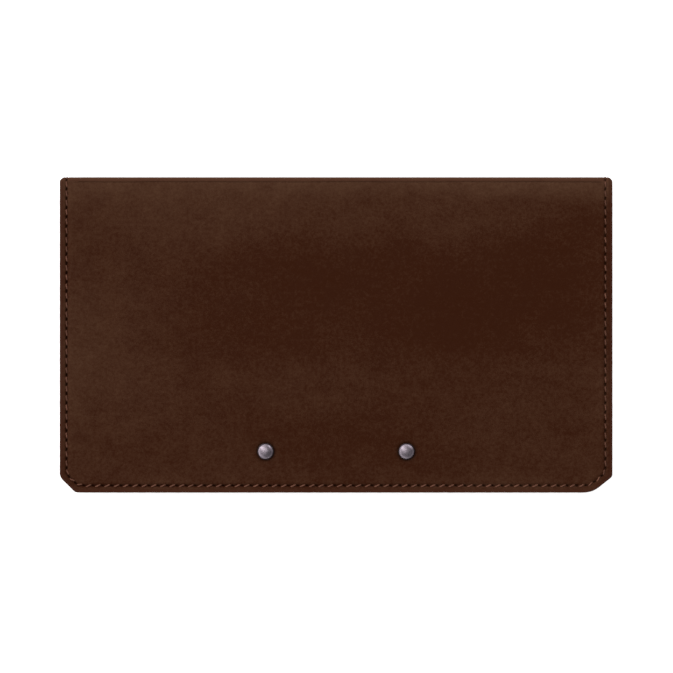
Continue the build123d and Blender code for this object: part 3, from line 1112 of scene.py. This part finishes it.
def make_card_tier(tier, node, mouth, shown_to, last):
    """A pocket inside the front, which the next one covers except for its mouth."""
    fine, crossing = tier_details(tier, mouth, shown_to, last)

    def depth(u, v):
        return np.minimum(panel_depth(u, v), np.minimum(v - mouth, TIER_ROOT - v))

    def drape(places):
        return tier_stack(tier, places[:, 0], places[:, 1])

    coarse = staggered(-HALF_WIDTH, HALF_WIDTH, mouth, TIER_ROOT, cover().panel_gap)
    coarse = inside_of(coarse, depth, 4.2 * MM)
    inner = inside_of(np.concatenate([fine[fine[:, 1] < shown_to], coarse]), depth)
    far = inside_of(np.concatenate([fine[::9], coarse]), depth)
    surface = pocket_surface(inner_seam(), 1, lambda u, v: v - mouth, crossing)
    place = flat_on(low("front_lining", Z), -1)
    pattern = hide_of(1, SPINE_MIDDLE, FIRST_TIER_SHIFT + TIER_SHIFT * tier)
    rim, inward = tier_rim(mouth)
    name = node + "_leather"
    leather = sheet(name, rim, inward, inner, far, TIER_LEATHER, surface, place, pattern, drape)
    dress(leather, inner_leather(), "pocket_leather", node)
    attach(leather, "front")


def make_card_tiers():
    """The slip pocket and the three card tiers, each over the one before and set back from it."""
    mouths = tier_mouths()
    shown_to = [mouth + 1.5 * MM for mouth in mouths[1:]] + [TIER_ROOT]
    for tier, node in enumerate(CARD_TIERS):
        make_card_tier(tier, node, mouths[tier], shown_to[tier], node == CARD_TIERS[-1])


# The pen loop


def loop_outline():
    """The pen loop's outside in Y and Z: round the pen, with its two ends flat on the spine."""
    leather = cover().pen_leather
    blunt = 0.3 * MM
    plate = SPINE_INSIDE - leather
    bottom = TOP / 2 - PEN_LOOP_RADIUS
    root = math.acos((PEN_LOOP_RADIUS - leather) / PEN_LOOP_RADIUS)
    ring = arc((PEN_LOOP_AXIS, TOP / 2), PEN_LOOP_RADIUS, root, 2 * math.pi - root, 90)
    end = arc((plate + blunt, bottom + blunt), blunt, math.pi, 1.5 * math.pi, 4)
    lower = np.linspace(ring[-1], end[0], 8)[1:-1]
    foot = np.concatenate([lower, end, [(SPINE_INSIDE, bottom)]])
    upper = foot[::-1] * (1, -1) + (0, TOP)
    return np.concatenate([ring, foot, upper])


def strap_stations(rounding):
    """Places along the pen loop from end to end, each with its inset where the edge is rounded."""
    angles = np.linspace(0, math.pi / 2, 6)
    ends = [(PEN_LOOP_END - rounding * (1 - math.sin(a)), rounding * (1 - math.cos(a))) for a in angles]
    between = np.arange(-PEN_LOOP_END + 0.6 * MM, PEN_LOOP_END - 0.5 * MM, 0.32 * MM)
    return [(-x, inset) for x, inset in reversed(ends)] + [(x, 0.0) for x in between] + ends


def strap_seams():
    """The seams of the pen loop's two flat ends."""
    end = PEN_LOOP_END - 1.6 * MM
    return [line_seam((-end, level), (end, level)) for level in (-4 * MM, 4 * MM)]


def strap_skin(line, inward, stations):
    """One face of the pen loop's strap: its points, their places in the leather and their needle holes."""
    along = lengths_along(line)
    plate = SPINE_INSIDE - cover().pen_leather
    seams = strap_seams()
    points, texture, holes = [], [], []
    for x, inset in stations:
        ring = line + inward * inset
        across = np.full(len(ring), x)
        flat_ring = np.column_stack([across, ring[:, 1] - TOP / 2])
        on_plate = np.abs(ring[:, 0] - plate) < 0.1 * MM
        pits = sum(seam.pits(flat_ring, 0) for seam in seams) * on_plate
        points.append(np.column_stack([across, ring[:, 0] + 0.3 * MM * pits, ring[:, 1]]))
        texture.append(np.column_stack([across + STRAP_SHIFT, along, np.full(len(ring), -inset)]))
        holes.append(pits)
    return np.concatenate(points), np.concatenate(texture), np.concatenate(holes)


def make_pen_loop():
    """A strap bent round the pen, with its ends sewn flat to the spine."""
    rounding = 0.28 * MM
    stations = strap_stations(rounding)
    bore_line = full_circle((PEN_LOOP_AXIS, TOP / 2), PEN_LOOP_RADIUS - cover().pen_leather, 90)
    lines, inwards, skins = [], [], []
    for line, side in ((loop_outline(), 1), (bore_line, -1)):
        lines.append(line)
        inwards.append(left_of(unit(np.roll(line, -1, axis=0) - np.roll(line, 1, axis=0))) * side)
        skins.append(strap_skin(line, inwards[-1], stations))
    outer_count, bore_count = len(lines[0]), len(lines[1])
    bore_start = len(stations) * outer_count
    faces = hoops(len(stations), outer_count) + hoops(len(stations), bore_count, bore_start)
    for row in (0, len(stations) - 1):
        outer_ring, bore_ring = (line + inward * stations[row][1] for line, inward in zip(lines, inwards))
        bore_skip = bore_start + row * bore_count - outer_count
        for corners in fill(outer_ring, bore_ring):
            if min(corners) < outer_count:
                faces.append([at + (row * outer_count if at < outer_count else bore_skip) for at in corners])
    points, texture, holes = (np.concatenate(parts) for parts in zip(*skins))
    across = np.abs(points[:, 0])
    wall = smooth(across, PEN_LOOP_END - rounding, PEN_LOOP_END - 0.1 * MM)
    rub_and_sheen = 0.5 * smooth(across, PEN_LOOP_END - 1.6 * MM, PEN_LOOP_END - 0.4 * MM) * (1 - wall)
    bend, bend_end = PEN_LOOP_AXIS - PEN_LOOP_RADIUS, PEN_LOOP_AXIS - 0.4 * PEN_LOOP_RADIUS
    rub_and_sheen += 0.5 * (1 - smooth(points[:, 1], bend, bend_end))
    values = {"rub_and_sheen": rub_and_sheen, "shade": holes, "cut_edge": wall}
    strap = make_mesh("pen_loop_strap", points, faces, texture, values)
    dress(strap, inner_leather(), "pocket_leather", "pen_loop")
    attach(strap, "spine")


# Threads

# Plies of the thread, the turns that they make along one stitch, and the longest stitch in pitches
PLIES = 3
TWISTS = 1.4
LONGEST_STITCH = 1.4

# Shares of the sway: that of every stitch, what a stitch along the free edge adds to it, and that of the
# edge seam inside, which slants the other way
STITCH_SLANT = 0.72
LEVEL_SLANT = 0.85
INSIDE_TURN = -0.7


def level_share(start, end):
    """1 for a stitch along the fold's direction and 0 for one straight across it."""
    return abs(end[0] - start[0]) / math.dist(start, end)


def stitch_tube(start, end, sway, place, sides, rings):
    """The points of one twisted stitch, ring by ring. Its ends sink into the leather."""
    seams = sewing()
    steps = np.linspace(0, 1, rings)
    from_middle = np.abs(2 * steps - 1)
    around = turns(sides)
    heights = seams.thread_rise - 0.75 * seams.hole_depth * from_middle**5
    taper = 1 - 0.35 * from_middle**3
    plies = 1 + 0.12 * np.cos(PLIES * (around[None, :] - steps[:, None] * TWISTS * 2 * math.pi))
    radii = seams.thread_radius * taper[:, None] * plies
    ease = np.sign(2 * steps - 1) * from_middle**0.8
    across = np.array([start[1] - end[1], end[0] - start[0]]) / math.dist(start, end)
    along = seams.end_gap + (1 - 2 * seams.end_gap) * steps
    flat_line = start + (end - start) * along[:, None] + across * (sway * ease)[:, None]
    line = place(flat_line[:, 0], flat_line[:, 1], heights)
    above = unit(place(flat_line[:, 0], flat_line[:, 1], heights + 0.05 * MM) - line)
    ahead = unit(np.gradient(line, axis=0))
    side = unit(np.cross(ahead, above))
    over = np.cross(side, ahead)
    sideways = np.cos(around)[None, :, None] * side[:, None]
    upward = np.sin(around)[None, :, None] * over[:, None]
    return (line[:, None] + radii[:, :, None] * (sideways + upward)).reshape(-1, 3)


def thread(name, stitches, place, node, sides, rings):
    """A seam's stitches as twisted thread, which stands for a CAD node. Each stitch has a start, an end and
    a sway in the flat pattern."""
    seams = sewing()
    count = rings * sides
    lengthwise = np.repeat(np.linspace(0, 1, rings) * seams.pitch, sides)
    roundwise = np.tile(turns(sides) * seams.thread_radius, rings)
    caps = [list(range(sides)), list(range(count - sides, count))]
    points, faces, texture, wear_and_sheen = [], [], [], []
    for order, (start, end, sway) in enumerate(stitches):
        points.append(stitch_tube(start, end, sway, place, sides, rings))
        faces += hoops(rings, sides, order * count)
        faces += [[order * count + at for at in cap] for cap in caps]
        texture.append(np.column_stack([lengthwise + order * 5 * MM, roundwise, np.full(count, order * MM)]))
        # Painted highlight: stitches that run along the fold are lighter.
        wear_and_sheen.append(np.full(count, level_share(start, end)))
    values = {"rub_and_sheen": np.concatenate(wear_and_sheen)}
    piece = make_mesh(name, np.concatenate(points), faces, np.concatenate(texture), values, sharp=80)
    return dress(piece, waxed_thread(), "thread", node)


def stitches_of(seam, turn):
    """Stitches from each hole to the next. turn is their slant's direction in the flat pattern."""
    seams = sewing()
    found = []
    for start, end in zip(seam.places, seam.places[1:]):
        if 0 < math.dist(start, end) < LONGEST_STITCH * seams.pitch:
            slant = STITCH_SLANT + LEVEL_SLANT * level_share(start, end)
            found.append((start, end, turn * seams.sway * slant))
    return found


def closing_stitches(seam, middle, turn):
    """The two stitches across the middle of the spine, one at each side."""
    found = []
    for place in (seam.places[0], seam.places[-1]):
        reach = middle - place[1]
        ends = np.array([place[0], reach]), np.array([place[0], -reach])
        found.append((*ends, STITCH_SLANT * turn * sewing().sway))
    return found


def make_edge_threads():
    """The edge seam's thread, outside and inside, on the front, the spine and the back."""
    outer, inner = edge_seam(), inner_seam()
    for facing, side in SIDES:
        node = side + "_seam_outside"
        name = side + "_thread_outside"
        outside = thread(name, stitches_of(outer, facing), outer_wrap(facing), node, **SHOWN_THREAD)
        bends(outside, facing, OUTER_BLEND)
        node = side + "_seam_inside"
        name = side + "_thread_inside"
        place = inner_wrap(facing, under_front_seam if facing > 0 else under_back_seam)
        inside = thread(name, stitches_of(inner, INSIDE_TURN * facing), place, node, **LONG_INNER_THREAD)
        bends(inside, facing, LINING_BLEND)
    stitches = closing_stitches(outer, SPINE_MIDDLE, 1)
    place = upright_on(FOLD_Y + FOLD_RADIUS, 1)
    outside = thread("spine_thread_outside", stitches, place, "spine_seam_outside", **SHOWN_THREAD)
    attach(outside, "spine")
    stitches = closing_stitches(inner, INNER_MIDDLE, INSIDE_TURN)
    place = upright_on(SPINE_INSIDE, -1)
    inside = thread("spine_thread_inside", stitches, place, "spine_seam_inside", **INNER_THREAD)
    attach(inside, "spine")


def make_pocket_threads():
    """The threads of the card tiers' centre and foot, and of the pen loop's two ends."""
    place = inner_wrap(1, under_front_seam)
    for name, seam in (("card_centre", centre_seam()), ("card_foot", foot_seam())):
        piece = thread(name + "_thread", stitches_of(seam, -0.6), place, name + "_seam", **INNER_THREAD)
        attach(piece, "front")
    stitches = [stitch for seam in strap_seams() for stitch in stitches_of(seam, 0.5)]
    place = upright_on(SPINE_INSIDE - cover().pen_leather, -1)
    loop = thread("pen_loop_thread", stitches, place, "pen_loop_stitches", **INNER_THREAD)
    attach(loop, "spine")


# Rivets


def rivet_centres():
    """Each rivet's place on the front panel and its radius."""
    return [(middle_of(node, X), middle_of(node, Y), half_of(node, X)) for node in RIVET_CAPS]


def rings_round(centres):
    """Rings of places in the leather round each rivet."""
    return np.concatenate(
        [full_circle((u, v), radius + reach, 44) for u, v, radius in centres for reach in RIVET_OFFSETS]
    )


def rivet_profile(radius, dome):
    """A cap's section in radius and height: a low dome, a fine valley, a rolled rim and a hollow shank."""
    rim = 0.1 * MM
    foot = 0.2 * MM
    valley = 0.06 * MM
    underside = -0.2 * MM
    shank = 1.15 * MM
    inner = radius - 1.7 * rim
    base = foot + 0.1 * MM
    section = [(0.0, dome)]
    for part in range(1, 17):
        angle = math.pi / 2 * 0.96 * part / 16
        section.append((inner * math.sin(angle), base + (dome - base) * math.cos(angle)))
    section.append((inner + valley, foot + valley))
    for part in range(9):
        angle = math.pi * (0.9 - 1.2 * part / 8)
        section.append((radius - rim + rim * math.cos(angle), foot - 0.03 * MM + rim * math.sin(angle)))
    return section + [(radius - 0.5 * MM, underside), (shank, underside), (shank, -COVER), (0.0, -COVER)]


def make_rivets():
    """The two domed caps with their rolled rims."""
    metal = metal_material("dark_nickel", tuple(tones().metal), 0.43)
    sides = 72
    for (u, v, radius), node in zip(rivet_centres(), RIVET_CAPS):
        section = rivet_profile(radius, high(node, Z) - TOP)
        rings = section[1:-1]
        points = [(u, v, TOP + section[0][1])]
        for out, height in rings:
            points += [(u + out * math.cos(a), v + out * math.sin(a), TOP + height) for a in turns(sides)]
        points.append((u, v, TOP + section[-1][1]))
        last = len(points) - 1
        base = last - sides
        faces = [(0, 1 + at, 1 + (at + 1) % sides) for at in range(sides)]
        faces += [(a, d, c, b) for a, b, c, d in hoops(len(rings), sides, 1)]
        faces += [(last, base + (at + 1) % sides, base + at) for at in range(sides)]
        points = np.array(points)
        out = np.hypot(points[:, 0] - u, points[:, 1] - v)
        # Painted shade round the rim, which narrows the bright dome.
        painted_rim_shade = {"shade": smooth(out, radius - 0.32 * MM, radius - 0.14 * MM)}
        cap = make_mesh(node + "_domed", points, faces, points, painted_rim_shade, sharp=60)
        dress(cap, metal, "rivet_metal", node)
        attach(cap, "front")


# Materials


class Paint:
    """The nodes of a new material, or of a world, under construction."""

    def __init__(self, name, world=None):
        self.owner = world or bpy.data.materials.new(name)
        self.owner.use_nodes = True
        self.nodes = self.owner.node_tree.nodes
        self.links = self.owner.node_tree.links
        self.shader = self.nodes["Background" if world else "Principled BSDF"]

    def join(self, node, key, value):
        """Links a socket to an input, or sets the input's value."""
        if isinstance(value, bpy.types.NodeSocket):
            self.links.new(value, node.inputs[key])
        else:
            node.inputs[key].default_value = value

    def finish(self, **values):
        """Sets the shader's inputs, with _ for each space in their names."""
        for key, value in values.items():
            self.join(self.shader, key.replace("_", " "), value)
        return self.owner

    def add(self, kind, inputs, **options):
        """A node with its options, and with values or links on its inputs."""
        node = self.nodes.new(kind)
        for key, value in options.items():
            setattr(node, key, value)
        for key, value in inputs.items():
            self.join(node, key, value)
        return node

    def value(self, name):
        """A value that the mesh keeps on its points."""
        return self.add("ShaderNodeAttribute", {}, attribute_name=name).outputs["Fac"]

    def pattern(self):
        """The place in the flat leather."""
        return self.add("ShaderNodeAttribute", {}, attribute_name="pattern").outputs["Vector"]

    def stretch(self, where, *scale):
        """Texture places drawn out along an axis."""
        return self.add("ShaderNodeMapping", {"Vector": where, "Scale": scale}).outputs[0]

    def noise(self, where, size, detail=3.0, rough=0.5, distort=0.0):
        """Cloudy noise whose features are about size metres wide."""
        inputs = {
            "Vector": where,
            "Scale": 1 / size,
            "Detail": detail,
            "Roughness": rough,
            "Distortion": distort,
        }
        return self.add("ShaderNodeTexNoise", inputs).outputs["Fac"]

    def ramp(self, value, start, end, first=0.0, last=1.0):
        """A value from start to end taken to first to last, with soft ends."""
        inputs = {"Value": value, "From Min": start, "From Max": end, "To Min": first, "To Max": last}
        return self.add("ShaderNodeMapRange", inputs, interpolation_type="SMOOTHSTEP").outputs[0]

    def swing(self, noise, reach):
        """Noise as a lightening or darkening by up to reach."""
        return self.ramp(noise, 0.3, 0.7, -reach, reach)

    def maths(self, operation, first, second, clamp=False):
        """Two values brought together, and kept from 0 to 1 if clamp says so."""
        inputs = {0: first, 1: second}
        return self.add("ShaderNodeMath", inputs, operation=operation, use_clamp=clamp).outputs[0]

    def mix(self, amount, first, second):
        """Two colours mixed."""
        inputs = {0: amount, 6: first, 7: second}
        return self.add("ShaderNodeMix", inputs, data_type="RGBA").outputs[2]

    def relief(self, height, strength, distance, below=None):
        """A bump, over another one if there is one below."""
        inputs = {"Height": height, "Strength": strength, "Distance": distance}
        if below is not None:
            inputs["Normal"] = below
        return self.add("ShaderNodeBump", inputs).outputs[0]


def opaque(rgb, times=1.0):
    """A colour with full alpha, lighter or darker by a factor."""
    return tuple(min(part * times, 1.0) for part in rgb) + (1.0,)


def leather_material(name, base, rubbed_and_sheen, cut, grain_size):
    """Oiled leather: clouds, mottling, fine grain and pores, lighter where it is bent or rubbed and where
    sheen and highlights are painted, and darker where shade is painted.
    """
    colours = tones()
    paint = Paint(name)
    where = paint.pattern()
    mottle = paint.noise(where, 9 * MM, 4.0, 0.6, 0.2)
    speckle = paint.noise(where, 1.1 * MM, 3.0, 0.65)
    streaks = paint.noise(paint.stretch(where, 1.0, 3.0, 1.0), 24 * MM, 4.0, 0.6, 0.6)
    shares = [
        paint.swing(paint.noise(where, 42 * MM, 3.0, 0.5, 0.4), 0.1),
        paint.swing(mottle, 0.1),
        paint.swing(streaks, 0.08),
        paint.swing(paint.noise(where, 2.4 * MM, 2.0, 0.5), 0.12),
        paint.swing(speckle, 0.26),
        paint.swing(paint.noise(where, 0.4 * MM, 2.0, 0.6), 0.2),
    ]
    pale = shares[0]
    for other in shares[1:]:
        pale = paint.maths("ADD", pale, other)
    pale = paint.maths("MULTIPLY", pale, colours.clouds)
    # The rub value: wear, with painted sheen and highlights on the outer leather.
    wear_and_sheen = paint.maths("MULTIPLY", paint.value("rub_and_sheen"), paint.ramp(mottle, 0.3, 0.7, 0.88, 1.12))
    pale = paint.maths("ADD", pale, wear_and_sheen, clamp=True)
    shown = paint.mix(pale, opaque(base), opaque(rubbed_and_sheen))
    edge = paint.maths("MULTIPLY", paint.value("cut_edge"), paint.ramp(speckle, 0.3, 0.7, 0.7, 1.0))
    shown = paint.mix(edge, shown, opaque(cut))
    shown = paint.mix(paint.maths("MULTIPLY", paint.value("shade"), 0.93), shown, opaque(base, 0.32))
    cell_inputs = {"Vector": where, "Scale": 1 / grain_size}
    cells = paint.add("ShaderNodeTexVoronoi", cell_inputs, feature="F1").outputs[0]
    pores = paint.ramp(paint.noise(where, 0.8 * MM, 2.0), 0.62, 0.74, 1.0, 0.0)
    grain = paint.maths("ADD", paint.maths("MULTIPLY", cells, 0.8), paint.maths("MULTIPLY", pores, 0.5))
    fine = paint.relief(grain, colours.grain, 0.05 * MM)
    return paint.finish(
        Base_Color=shown,
        Roughness=paint.ramp(mottle, 0.3, 0.7, 0.62, 0.78),
        Specular_IOR_Level=0.06,
        Normal=paint.relief(speckle, 0.35, 0.08 * MM, fine),
    )


def outer_leather():
    """The oiled leather outside."""
    colours = tones()
    return bpy.data.materials.get("oiled_leather") or leather_material(
        "oiled_leather", colours.leather, colours.rubbed_and_sheen, colours.edge, 0.42 * MM
    )


def inner_leather():
    """The smoother leather inside."""
    colours = tones()
    return bpy.data.materials.get("smooth_leather") or leather_material(
        "smooth_leather", colours.lining, colours.lining_rubbed, colours.edge, 0.6 * MM
    )


def waxed_thread():
    """Waxed thread: fibres along the plies, lighter in places, with a painted highlight on the stitches that
    run along the fold, as along the free edge and the foot.
    """
    if "waxed_thread" in bpy.data.materials:
        return bpy.data.materials["waxed_thread"]
    tone = tones().thread
    paint = Paint("waxed_thread")
    where = paint.pattern()
    fibres = paint.noise(paint.stretch(where, 1.0, 4.0, 1.0), 0.25 * MM, 3.0, 0.6)
    shown = paint.mix(paint.ramp(fibres, 0.3, 0.7), opaque(tone, 0.6), opaque(tone))
    worn_places = paint.ramp(paint.noise(where, 4 * MM, 2.0), 0.45, 0.65, 0.0, 0.6)
    shown = paint.mix(worn_places, shown, opaque(tone, 1.35))
    # Painted highlight on the stitches that run along the fold.
    shown = paint.mix(paint.maths("MULTIPLY", paint.value("rub_and_sheen"), 0.32), shown, opaque(tone, 1.6))
    return paint.finish(
        Base_Color=shown,
        Roughness=paint.ramp(fibres, 0.3, 0.7, 0.65, 0.8),
        Specular_IOR_Level=0.1,
        Normal=paint.relief(fibres, 0.5, 0.04 * MM),
    )


def metal_material(name, tone, roughness):
    """Plated metal with a soft bloom and fine flecks."""
    paint = Paint(name)
    where = paint.add("ShaderNodeTexCoord", {}).outputs["Object"]
    flecks = paint.noise(where, 0.22 * MM, 2.0, 0.7)
    paler_patches = paint.ramp(paint.noise(where, 1.6 * MM, 3.0, 0.6), 0.35, 0.7)
    shown = paint.mix(paler_patches, opaque(tone, 0.72), opaque(tone))
    return paint.finish(
        Base_Color=paint.mix(paint.value("shade"), shown, opaque(tone, 0.15)),
        Metallic=1.0,
        Roughness=paint.ramp(flecks, 0.3, 0.7, roughness - 0.05, roughness + 0.07),
        Normal=paint.relief(flecks, 0.08, 0.02 * MM),
    )


def pressed_board():
    """Grey-brown board with flecks of fibre."""
    paint = Paint("pressed_board")
    where = paint.add("ShaderNodeTexCoord", {}).outputs["Object"]
    flecks = paint.noise(where, 1.2 * MM, 4.0, 0.7)
    return paint.finish(
        Base_Color=paint.mix(paint.ramp(flecks, 0.35, 0.7), (0.30, 0.23, 0.15, 1), (0.46, 0.38, 0.27, 1)),
        Roughness=0.85,
        Normal=paint.relief(flecks, 0.3, 0.08 * MM),
    )


def make_hidden_parts():
    """Materials for the CAD's boards and rivet backs, which stay as they are."""
    board = pressed_board()
    steel = metal_material("dull_nickel", tuple(tones().metal), 0.4)
    for node in ("front_board", "back_board", "left_rivet_back", "right_rivet_back"):
        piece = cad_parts[node]
        piece.data.materials.clear()
        piece.data.materials.append(board if node.endswith("board") else steel)


# Stage


def area_light(name, place, width, height, power, tone):
    """A soft oblong light that faces the cover."""
    light = bpy.data.lights.new(name, "AREA")
    light.shape = "RECTANGLE"
    light.size = width
    light.size_y = height
    light.energy = power
    light.color = tone
    lamp = bpy.data.objects.new(name, light)
    lamp.location = place
    lamp.rotation_euler = (-Vector(place)).to_track_quat("-Z", "Y").to_euler()
    bpy.context.scene.collection.objects.link(lamp)


def light_tent(brightness, top):
    """Pale light from all sides: brightest at the left, dim overhead and below the horizon."""
    paint = Paint("", bpy.data.worlds.new("light_tent"))
    direction = paint.add("ShaderNodeTexCoord", {}).outputs["Generated"]
    toward = paint.add("ShaderNodeSeparateXYZ", {"Vector": direction}).outputs
    overhead = paint.ramp(toward["Z"], 0.25, 0.8, 1.0, top)
    above = paint.ramp(toward["Z"], -0.3, -0.1, 0.1, 1.0)
    rightward = paint.maths("SUBTRACT", toward["X"], paint.maths("MULTIPLY", toward["Y"], 0.2))
    sideways = paint.ramp(rightward, -1.0, 1.0, 1.6 * brightness, 0.4 * brightness)
    strength = paint.maths("MULTIPLY", paint.maths("MULTIPLY", overhead, above), sideways)
    return paint.finish(Color=(1, 1, 1, 1), Strength=strength)


def make_camera(stage):
    """A camera straight above, at the distance from which it sees the view's width."""
    camera = bpy.data.cameras.new("camera")
    camera.lens = stage.lens
    camera.sensor_width = 36
    camera.clip_start = 0.01
    camera.clip_end = 200
    eye = bpy.data.objects.new("camera", camera)
    distance = stage.view_width * stage.lens / camera.sensor_width
    eye.location = (stage.aim_x, stage.aim_y, TOP + distance)
    bpy.context.scene.collection.objects.link(eye)
    bpy.context.scene.camera = eye


def make_floor(stage):
    """A wide pale floor just below the cover, which glows a little."""
    mesh = bpy.data.meshes.new("floor")
    shape = bmesh.new()
    bmesh.ops.create_grid(shape, x_segments=8, y_segments=8, size=60)
    shape.to_mesh(mesh)
    shape.free()
    floor = bpy.data.objects.new("floor", mesh)
    floor.location.z = -0.35 * MM
    floor.visible_glossy = False
    bpy.context.scene.collection.objects.link(floor)
    paint = Paint("pale_floor")
    pale, white = tones().floor, (1, 1, 1, 1)
    dapple = paint.noise(paint.add("ShaderNodeTexCoord", {}).outputs["Object"], 0.3, 2.0)
    tone = paint.mix(dapple, opaque(pale), opaque(pale, 1.02))
    paint.finish(Base_Color=tone, Roughness=0.9, Emission_Color=white, Emission_Strength=stage.glow)
    mesh.materials.append(paint.owner)


def make_stage():
    """A camera straight above, a pale floor, and soft light from the upper left and less from the right."""
    stage = bpy.context.scene.stage_settings
    bpy.context.scene.view_settings.view_transform = "Standard"
    make_camera(stage)
    bpy.context.scene.world = light_tent(stage.sky, stage.sky_top)
    area_light("key_light", (-0.6, 0.5, 1.25), 0.42, 1.7, stage.key, (1, 0.99, 0.97))
    area_light("fill_light", (0.7, 0.85, 0.55), 0.4, 0.4, stage.fill, (0.97, 0.98, 1))
    make_floor(stage)


# The add-on


class MakeOuterLeather(bpy.types.Operator):
    """Make the outer leather of the front, the spine and the back"""

    bl_idname = "checkbook_cover.outer_leather"
    bl_label = "Outer Leather"

    def execute(self, context):
        make_outer_leather()
        return {"FINISHED"}


class MakeLinings(bpy.types.Operator):
    """Make the linings of the front, the spine and the back"""

    bl_idname = "checkbook_cover.linings"
    bl_label = "Linings"

    def execute(self, context):
        make_linings()
        return {"FINISHED"}


class MakeCheckbookPocket(bpy.types.Operator):
    """Make the pocket that holds the checkbook"""

    bl_idname = "checkbook_cover.checkbook_pocket"
    bl_label = "Checkbook Pocket"

    def execute(self, context):
        make_checkbook_pocket()
        return {"FINISHED"}


class MakeCardTiers(bpy.types.Operator):
    """Make the slip pocket and the card tiers inside the front"""

    bl_idname = "checkbook_cover.card_tiers"
    bl_label = "Card Tiers"

    def execute(self, context):
        make_card_tiers()
        return {"FINISHED"}


class MakePenLoop(bpy.types.Operator):
    """Make the pen loop on the spine's inside"""

    bl_idname = "checkbook_cover.pen_loop"
    bl_label = "Pen Loop"

    def execute(self, context):
        make_pen_loop()
        return {"FINISHED"}


class MakeEdgeThreads(bpy.types.Operator):
    """Make the thread of the seam that runs round the cover"""

    bl_idname = "checkbook_cover.edge_threads"
    bl_label = "Edge Threads"

    def execute(self, context):
        make_edge_threads()
        return {"FINISHED"}


class MakePocketThreads(bpy.types.Operator):
    """Make the threads of the card tiers and of the pen loop"""

    bl_idname = "checkbook_cover.pocket_threads"
    bl_label = "Pocket Threads"

    def execute(self, context):
        make_pocket_threads()
        return {"FINISHED"}


class MakeRivets(bpy.types.Operator):
    """Make the two rivet caps"""

    bl_idname = "checkbook_cover.rivets"
    bl_label = "Rivets"

    def execute(self, context):
        make_rivets()
        return {"FINISHED"}


class FinishHiddenParts(bpy.types.Operator):
    """Give the boards and the rivet backs their materials"""

    bl_idname = "checkbook_cover.hidden_parts"
    bl_label = "Hidden Parts"

    def execute(self, context):
        make_hidden_parts()
        return {"FINISHED"}


class MakeStage(bpy.types.Operator):
    """Make the floor, the lights and the camera"""

    bl_idname = "checkbook_cover.stage"
    bl_label = "Stage"

    def execute(self, context):
        make_stage()
        return {"FINISHED"}


class CheckbookCoverPanel(bpy.types.Panel):
    """Sizes, colours and pieces of the checkbook cover"""

    bl_idname = "VIEW3D_PT_checkbook_cover"
    bl_label = "Checkbook Cover"
    bl_space_type = "VIEW_3D"
    bl_region_type = "UI"
    bl_category = "Checkbook Cover"

    def draw(self, context):
        for group in GROUPS:
            box = self.layout.box()
            box.label(text=group.__doc__)
            for key in group.__annotations__:
                box.prop(getattr(context.scene, GROUPS[group]), key)
        for step in STEPS:
            self.layout.operator(step.bl_idname)


GROUPS = {
    CoverSizes: "cover_sizes",
    SeamSizes: "seam_sizes",
    CoverColours: "cover_colours",
    StageSettings: "stage_settings",
}
STEPS = (
    MakeOuterLeather,
    MakeLinings,
    MakeCheckbookPocket,
    MakeCardTiers,
    MakePenLoop,
    MakeEdgeThreads,
    MakePocketThreads,
    MakeRivets,
    FinishHiddenParts,
    MakeStage,
)


def register():
    """Adds the classes to Blender and the settings to its scenes."""
    for kind in (*GROUPS, *STEPS, CheckbookCoverPanel):
        bpy.utils.register_class(kind)
    for group, name in GROUPS.items():
        setattr(bpy.types.Scene, name, bpy.props.PointerProperty(type=group))


def unregister():
    """Takes the settings and the classes away again."""
    for name in GROUPS.values():
        delattr(bpy.types.Scene, name)
    for kind in (CheckbookCoverPanel, *reversed(STEPS), *reversed(GROUPS)):
        bpy.utils.unregister_class(kind)


def main():
    """Registers the add-on and makes every piece."""
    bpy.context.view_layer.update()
    register()
    for step in STEPS:
        getattr(bpy.ops.checkbook_cover, step.bl_idname.split(".")[1])()


if __name__ == "__main__":
    main()
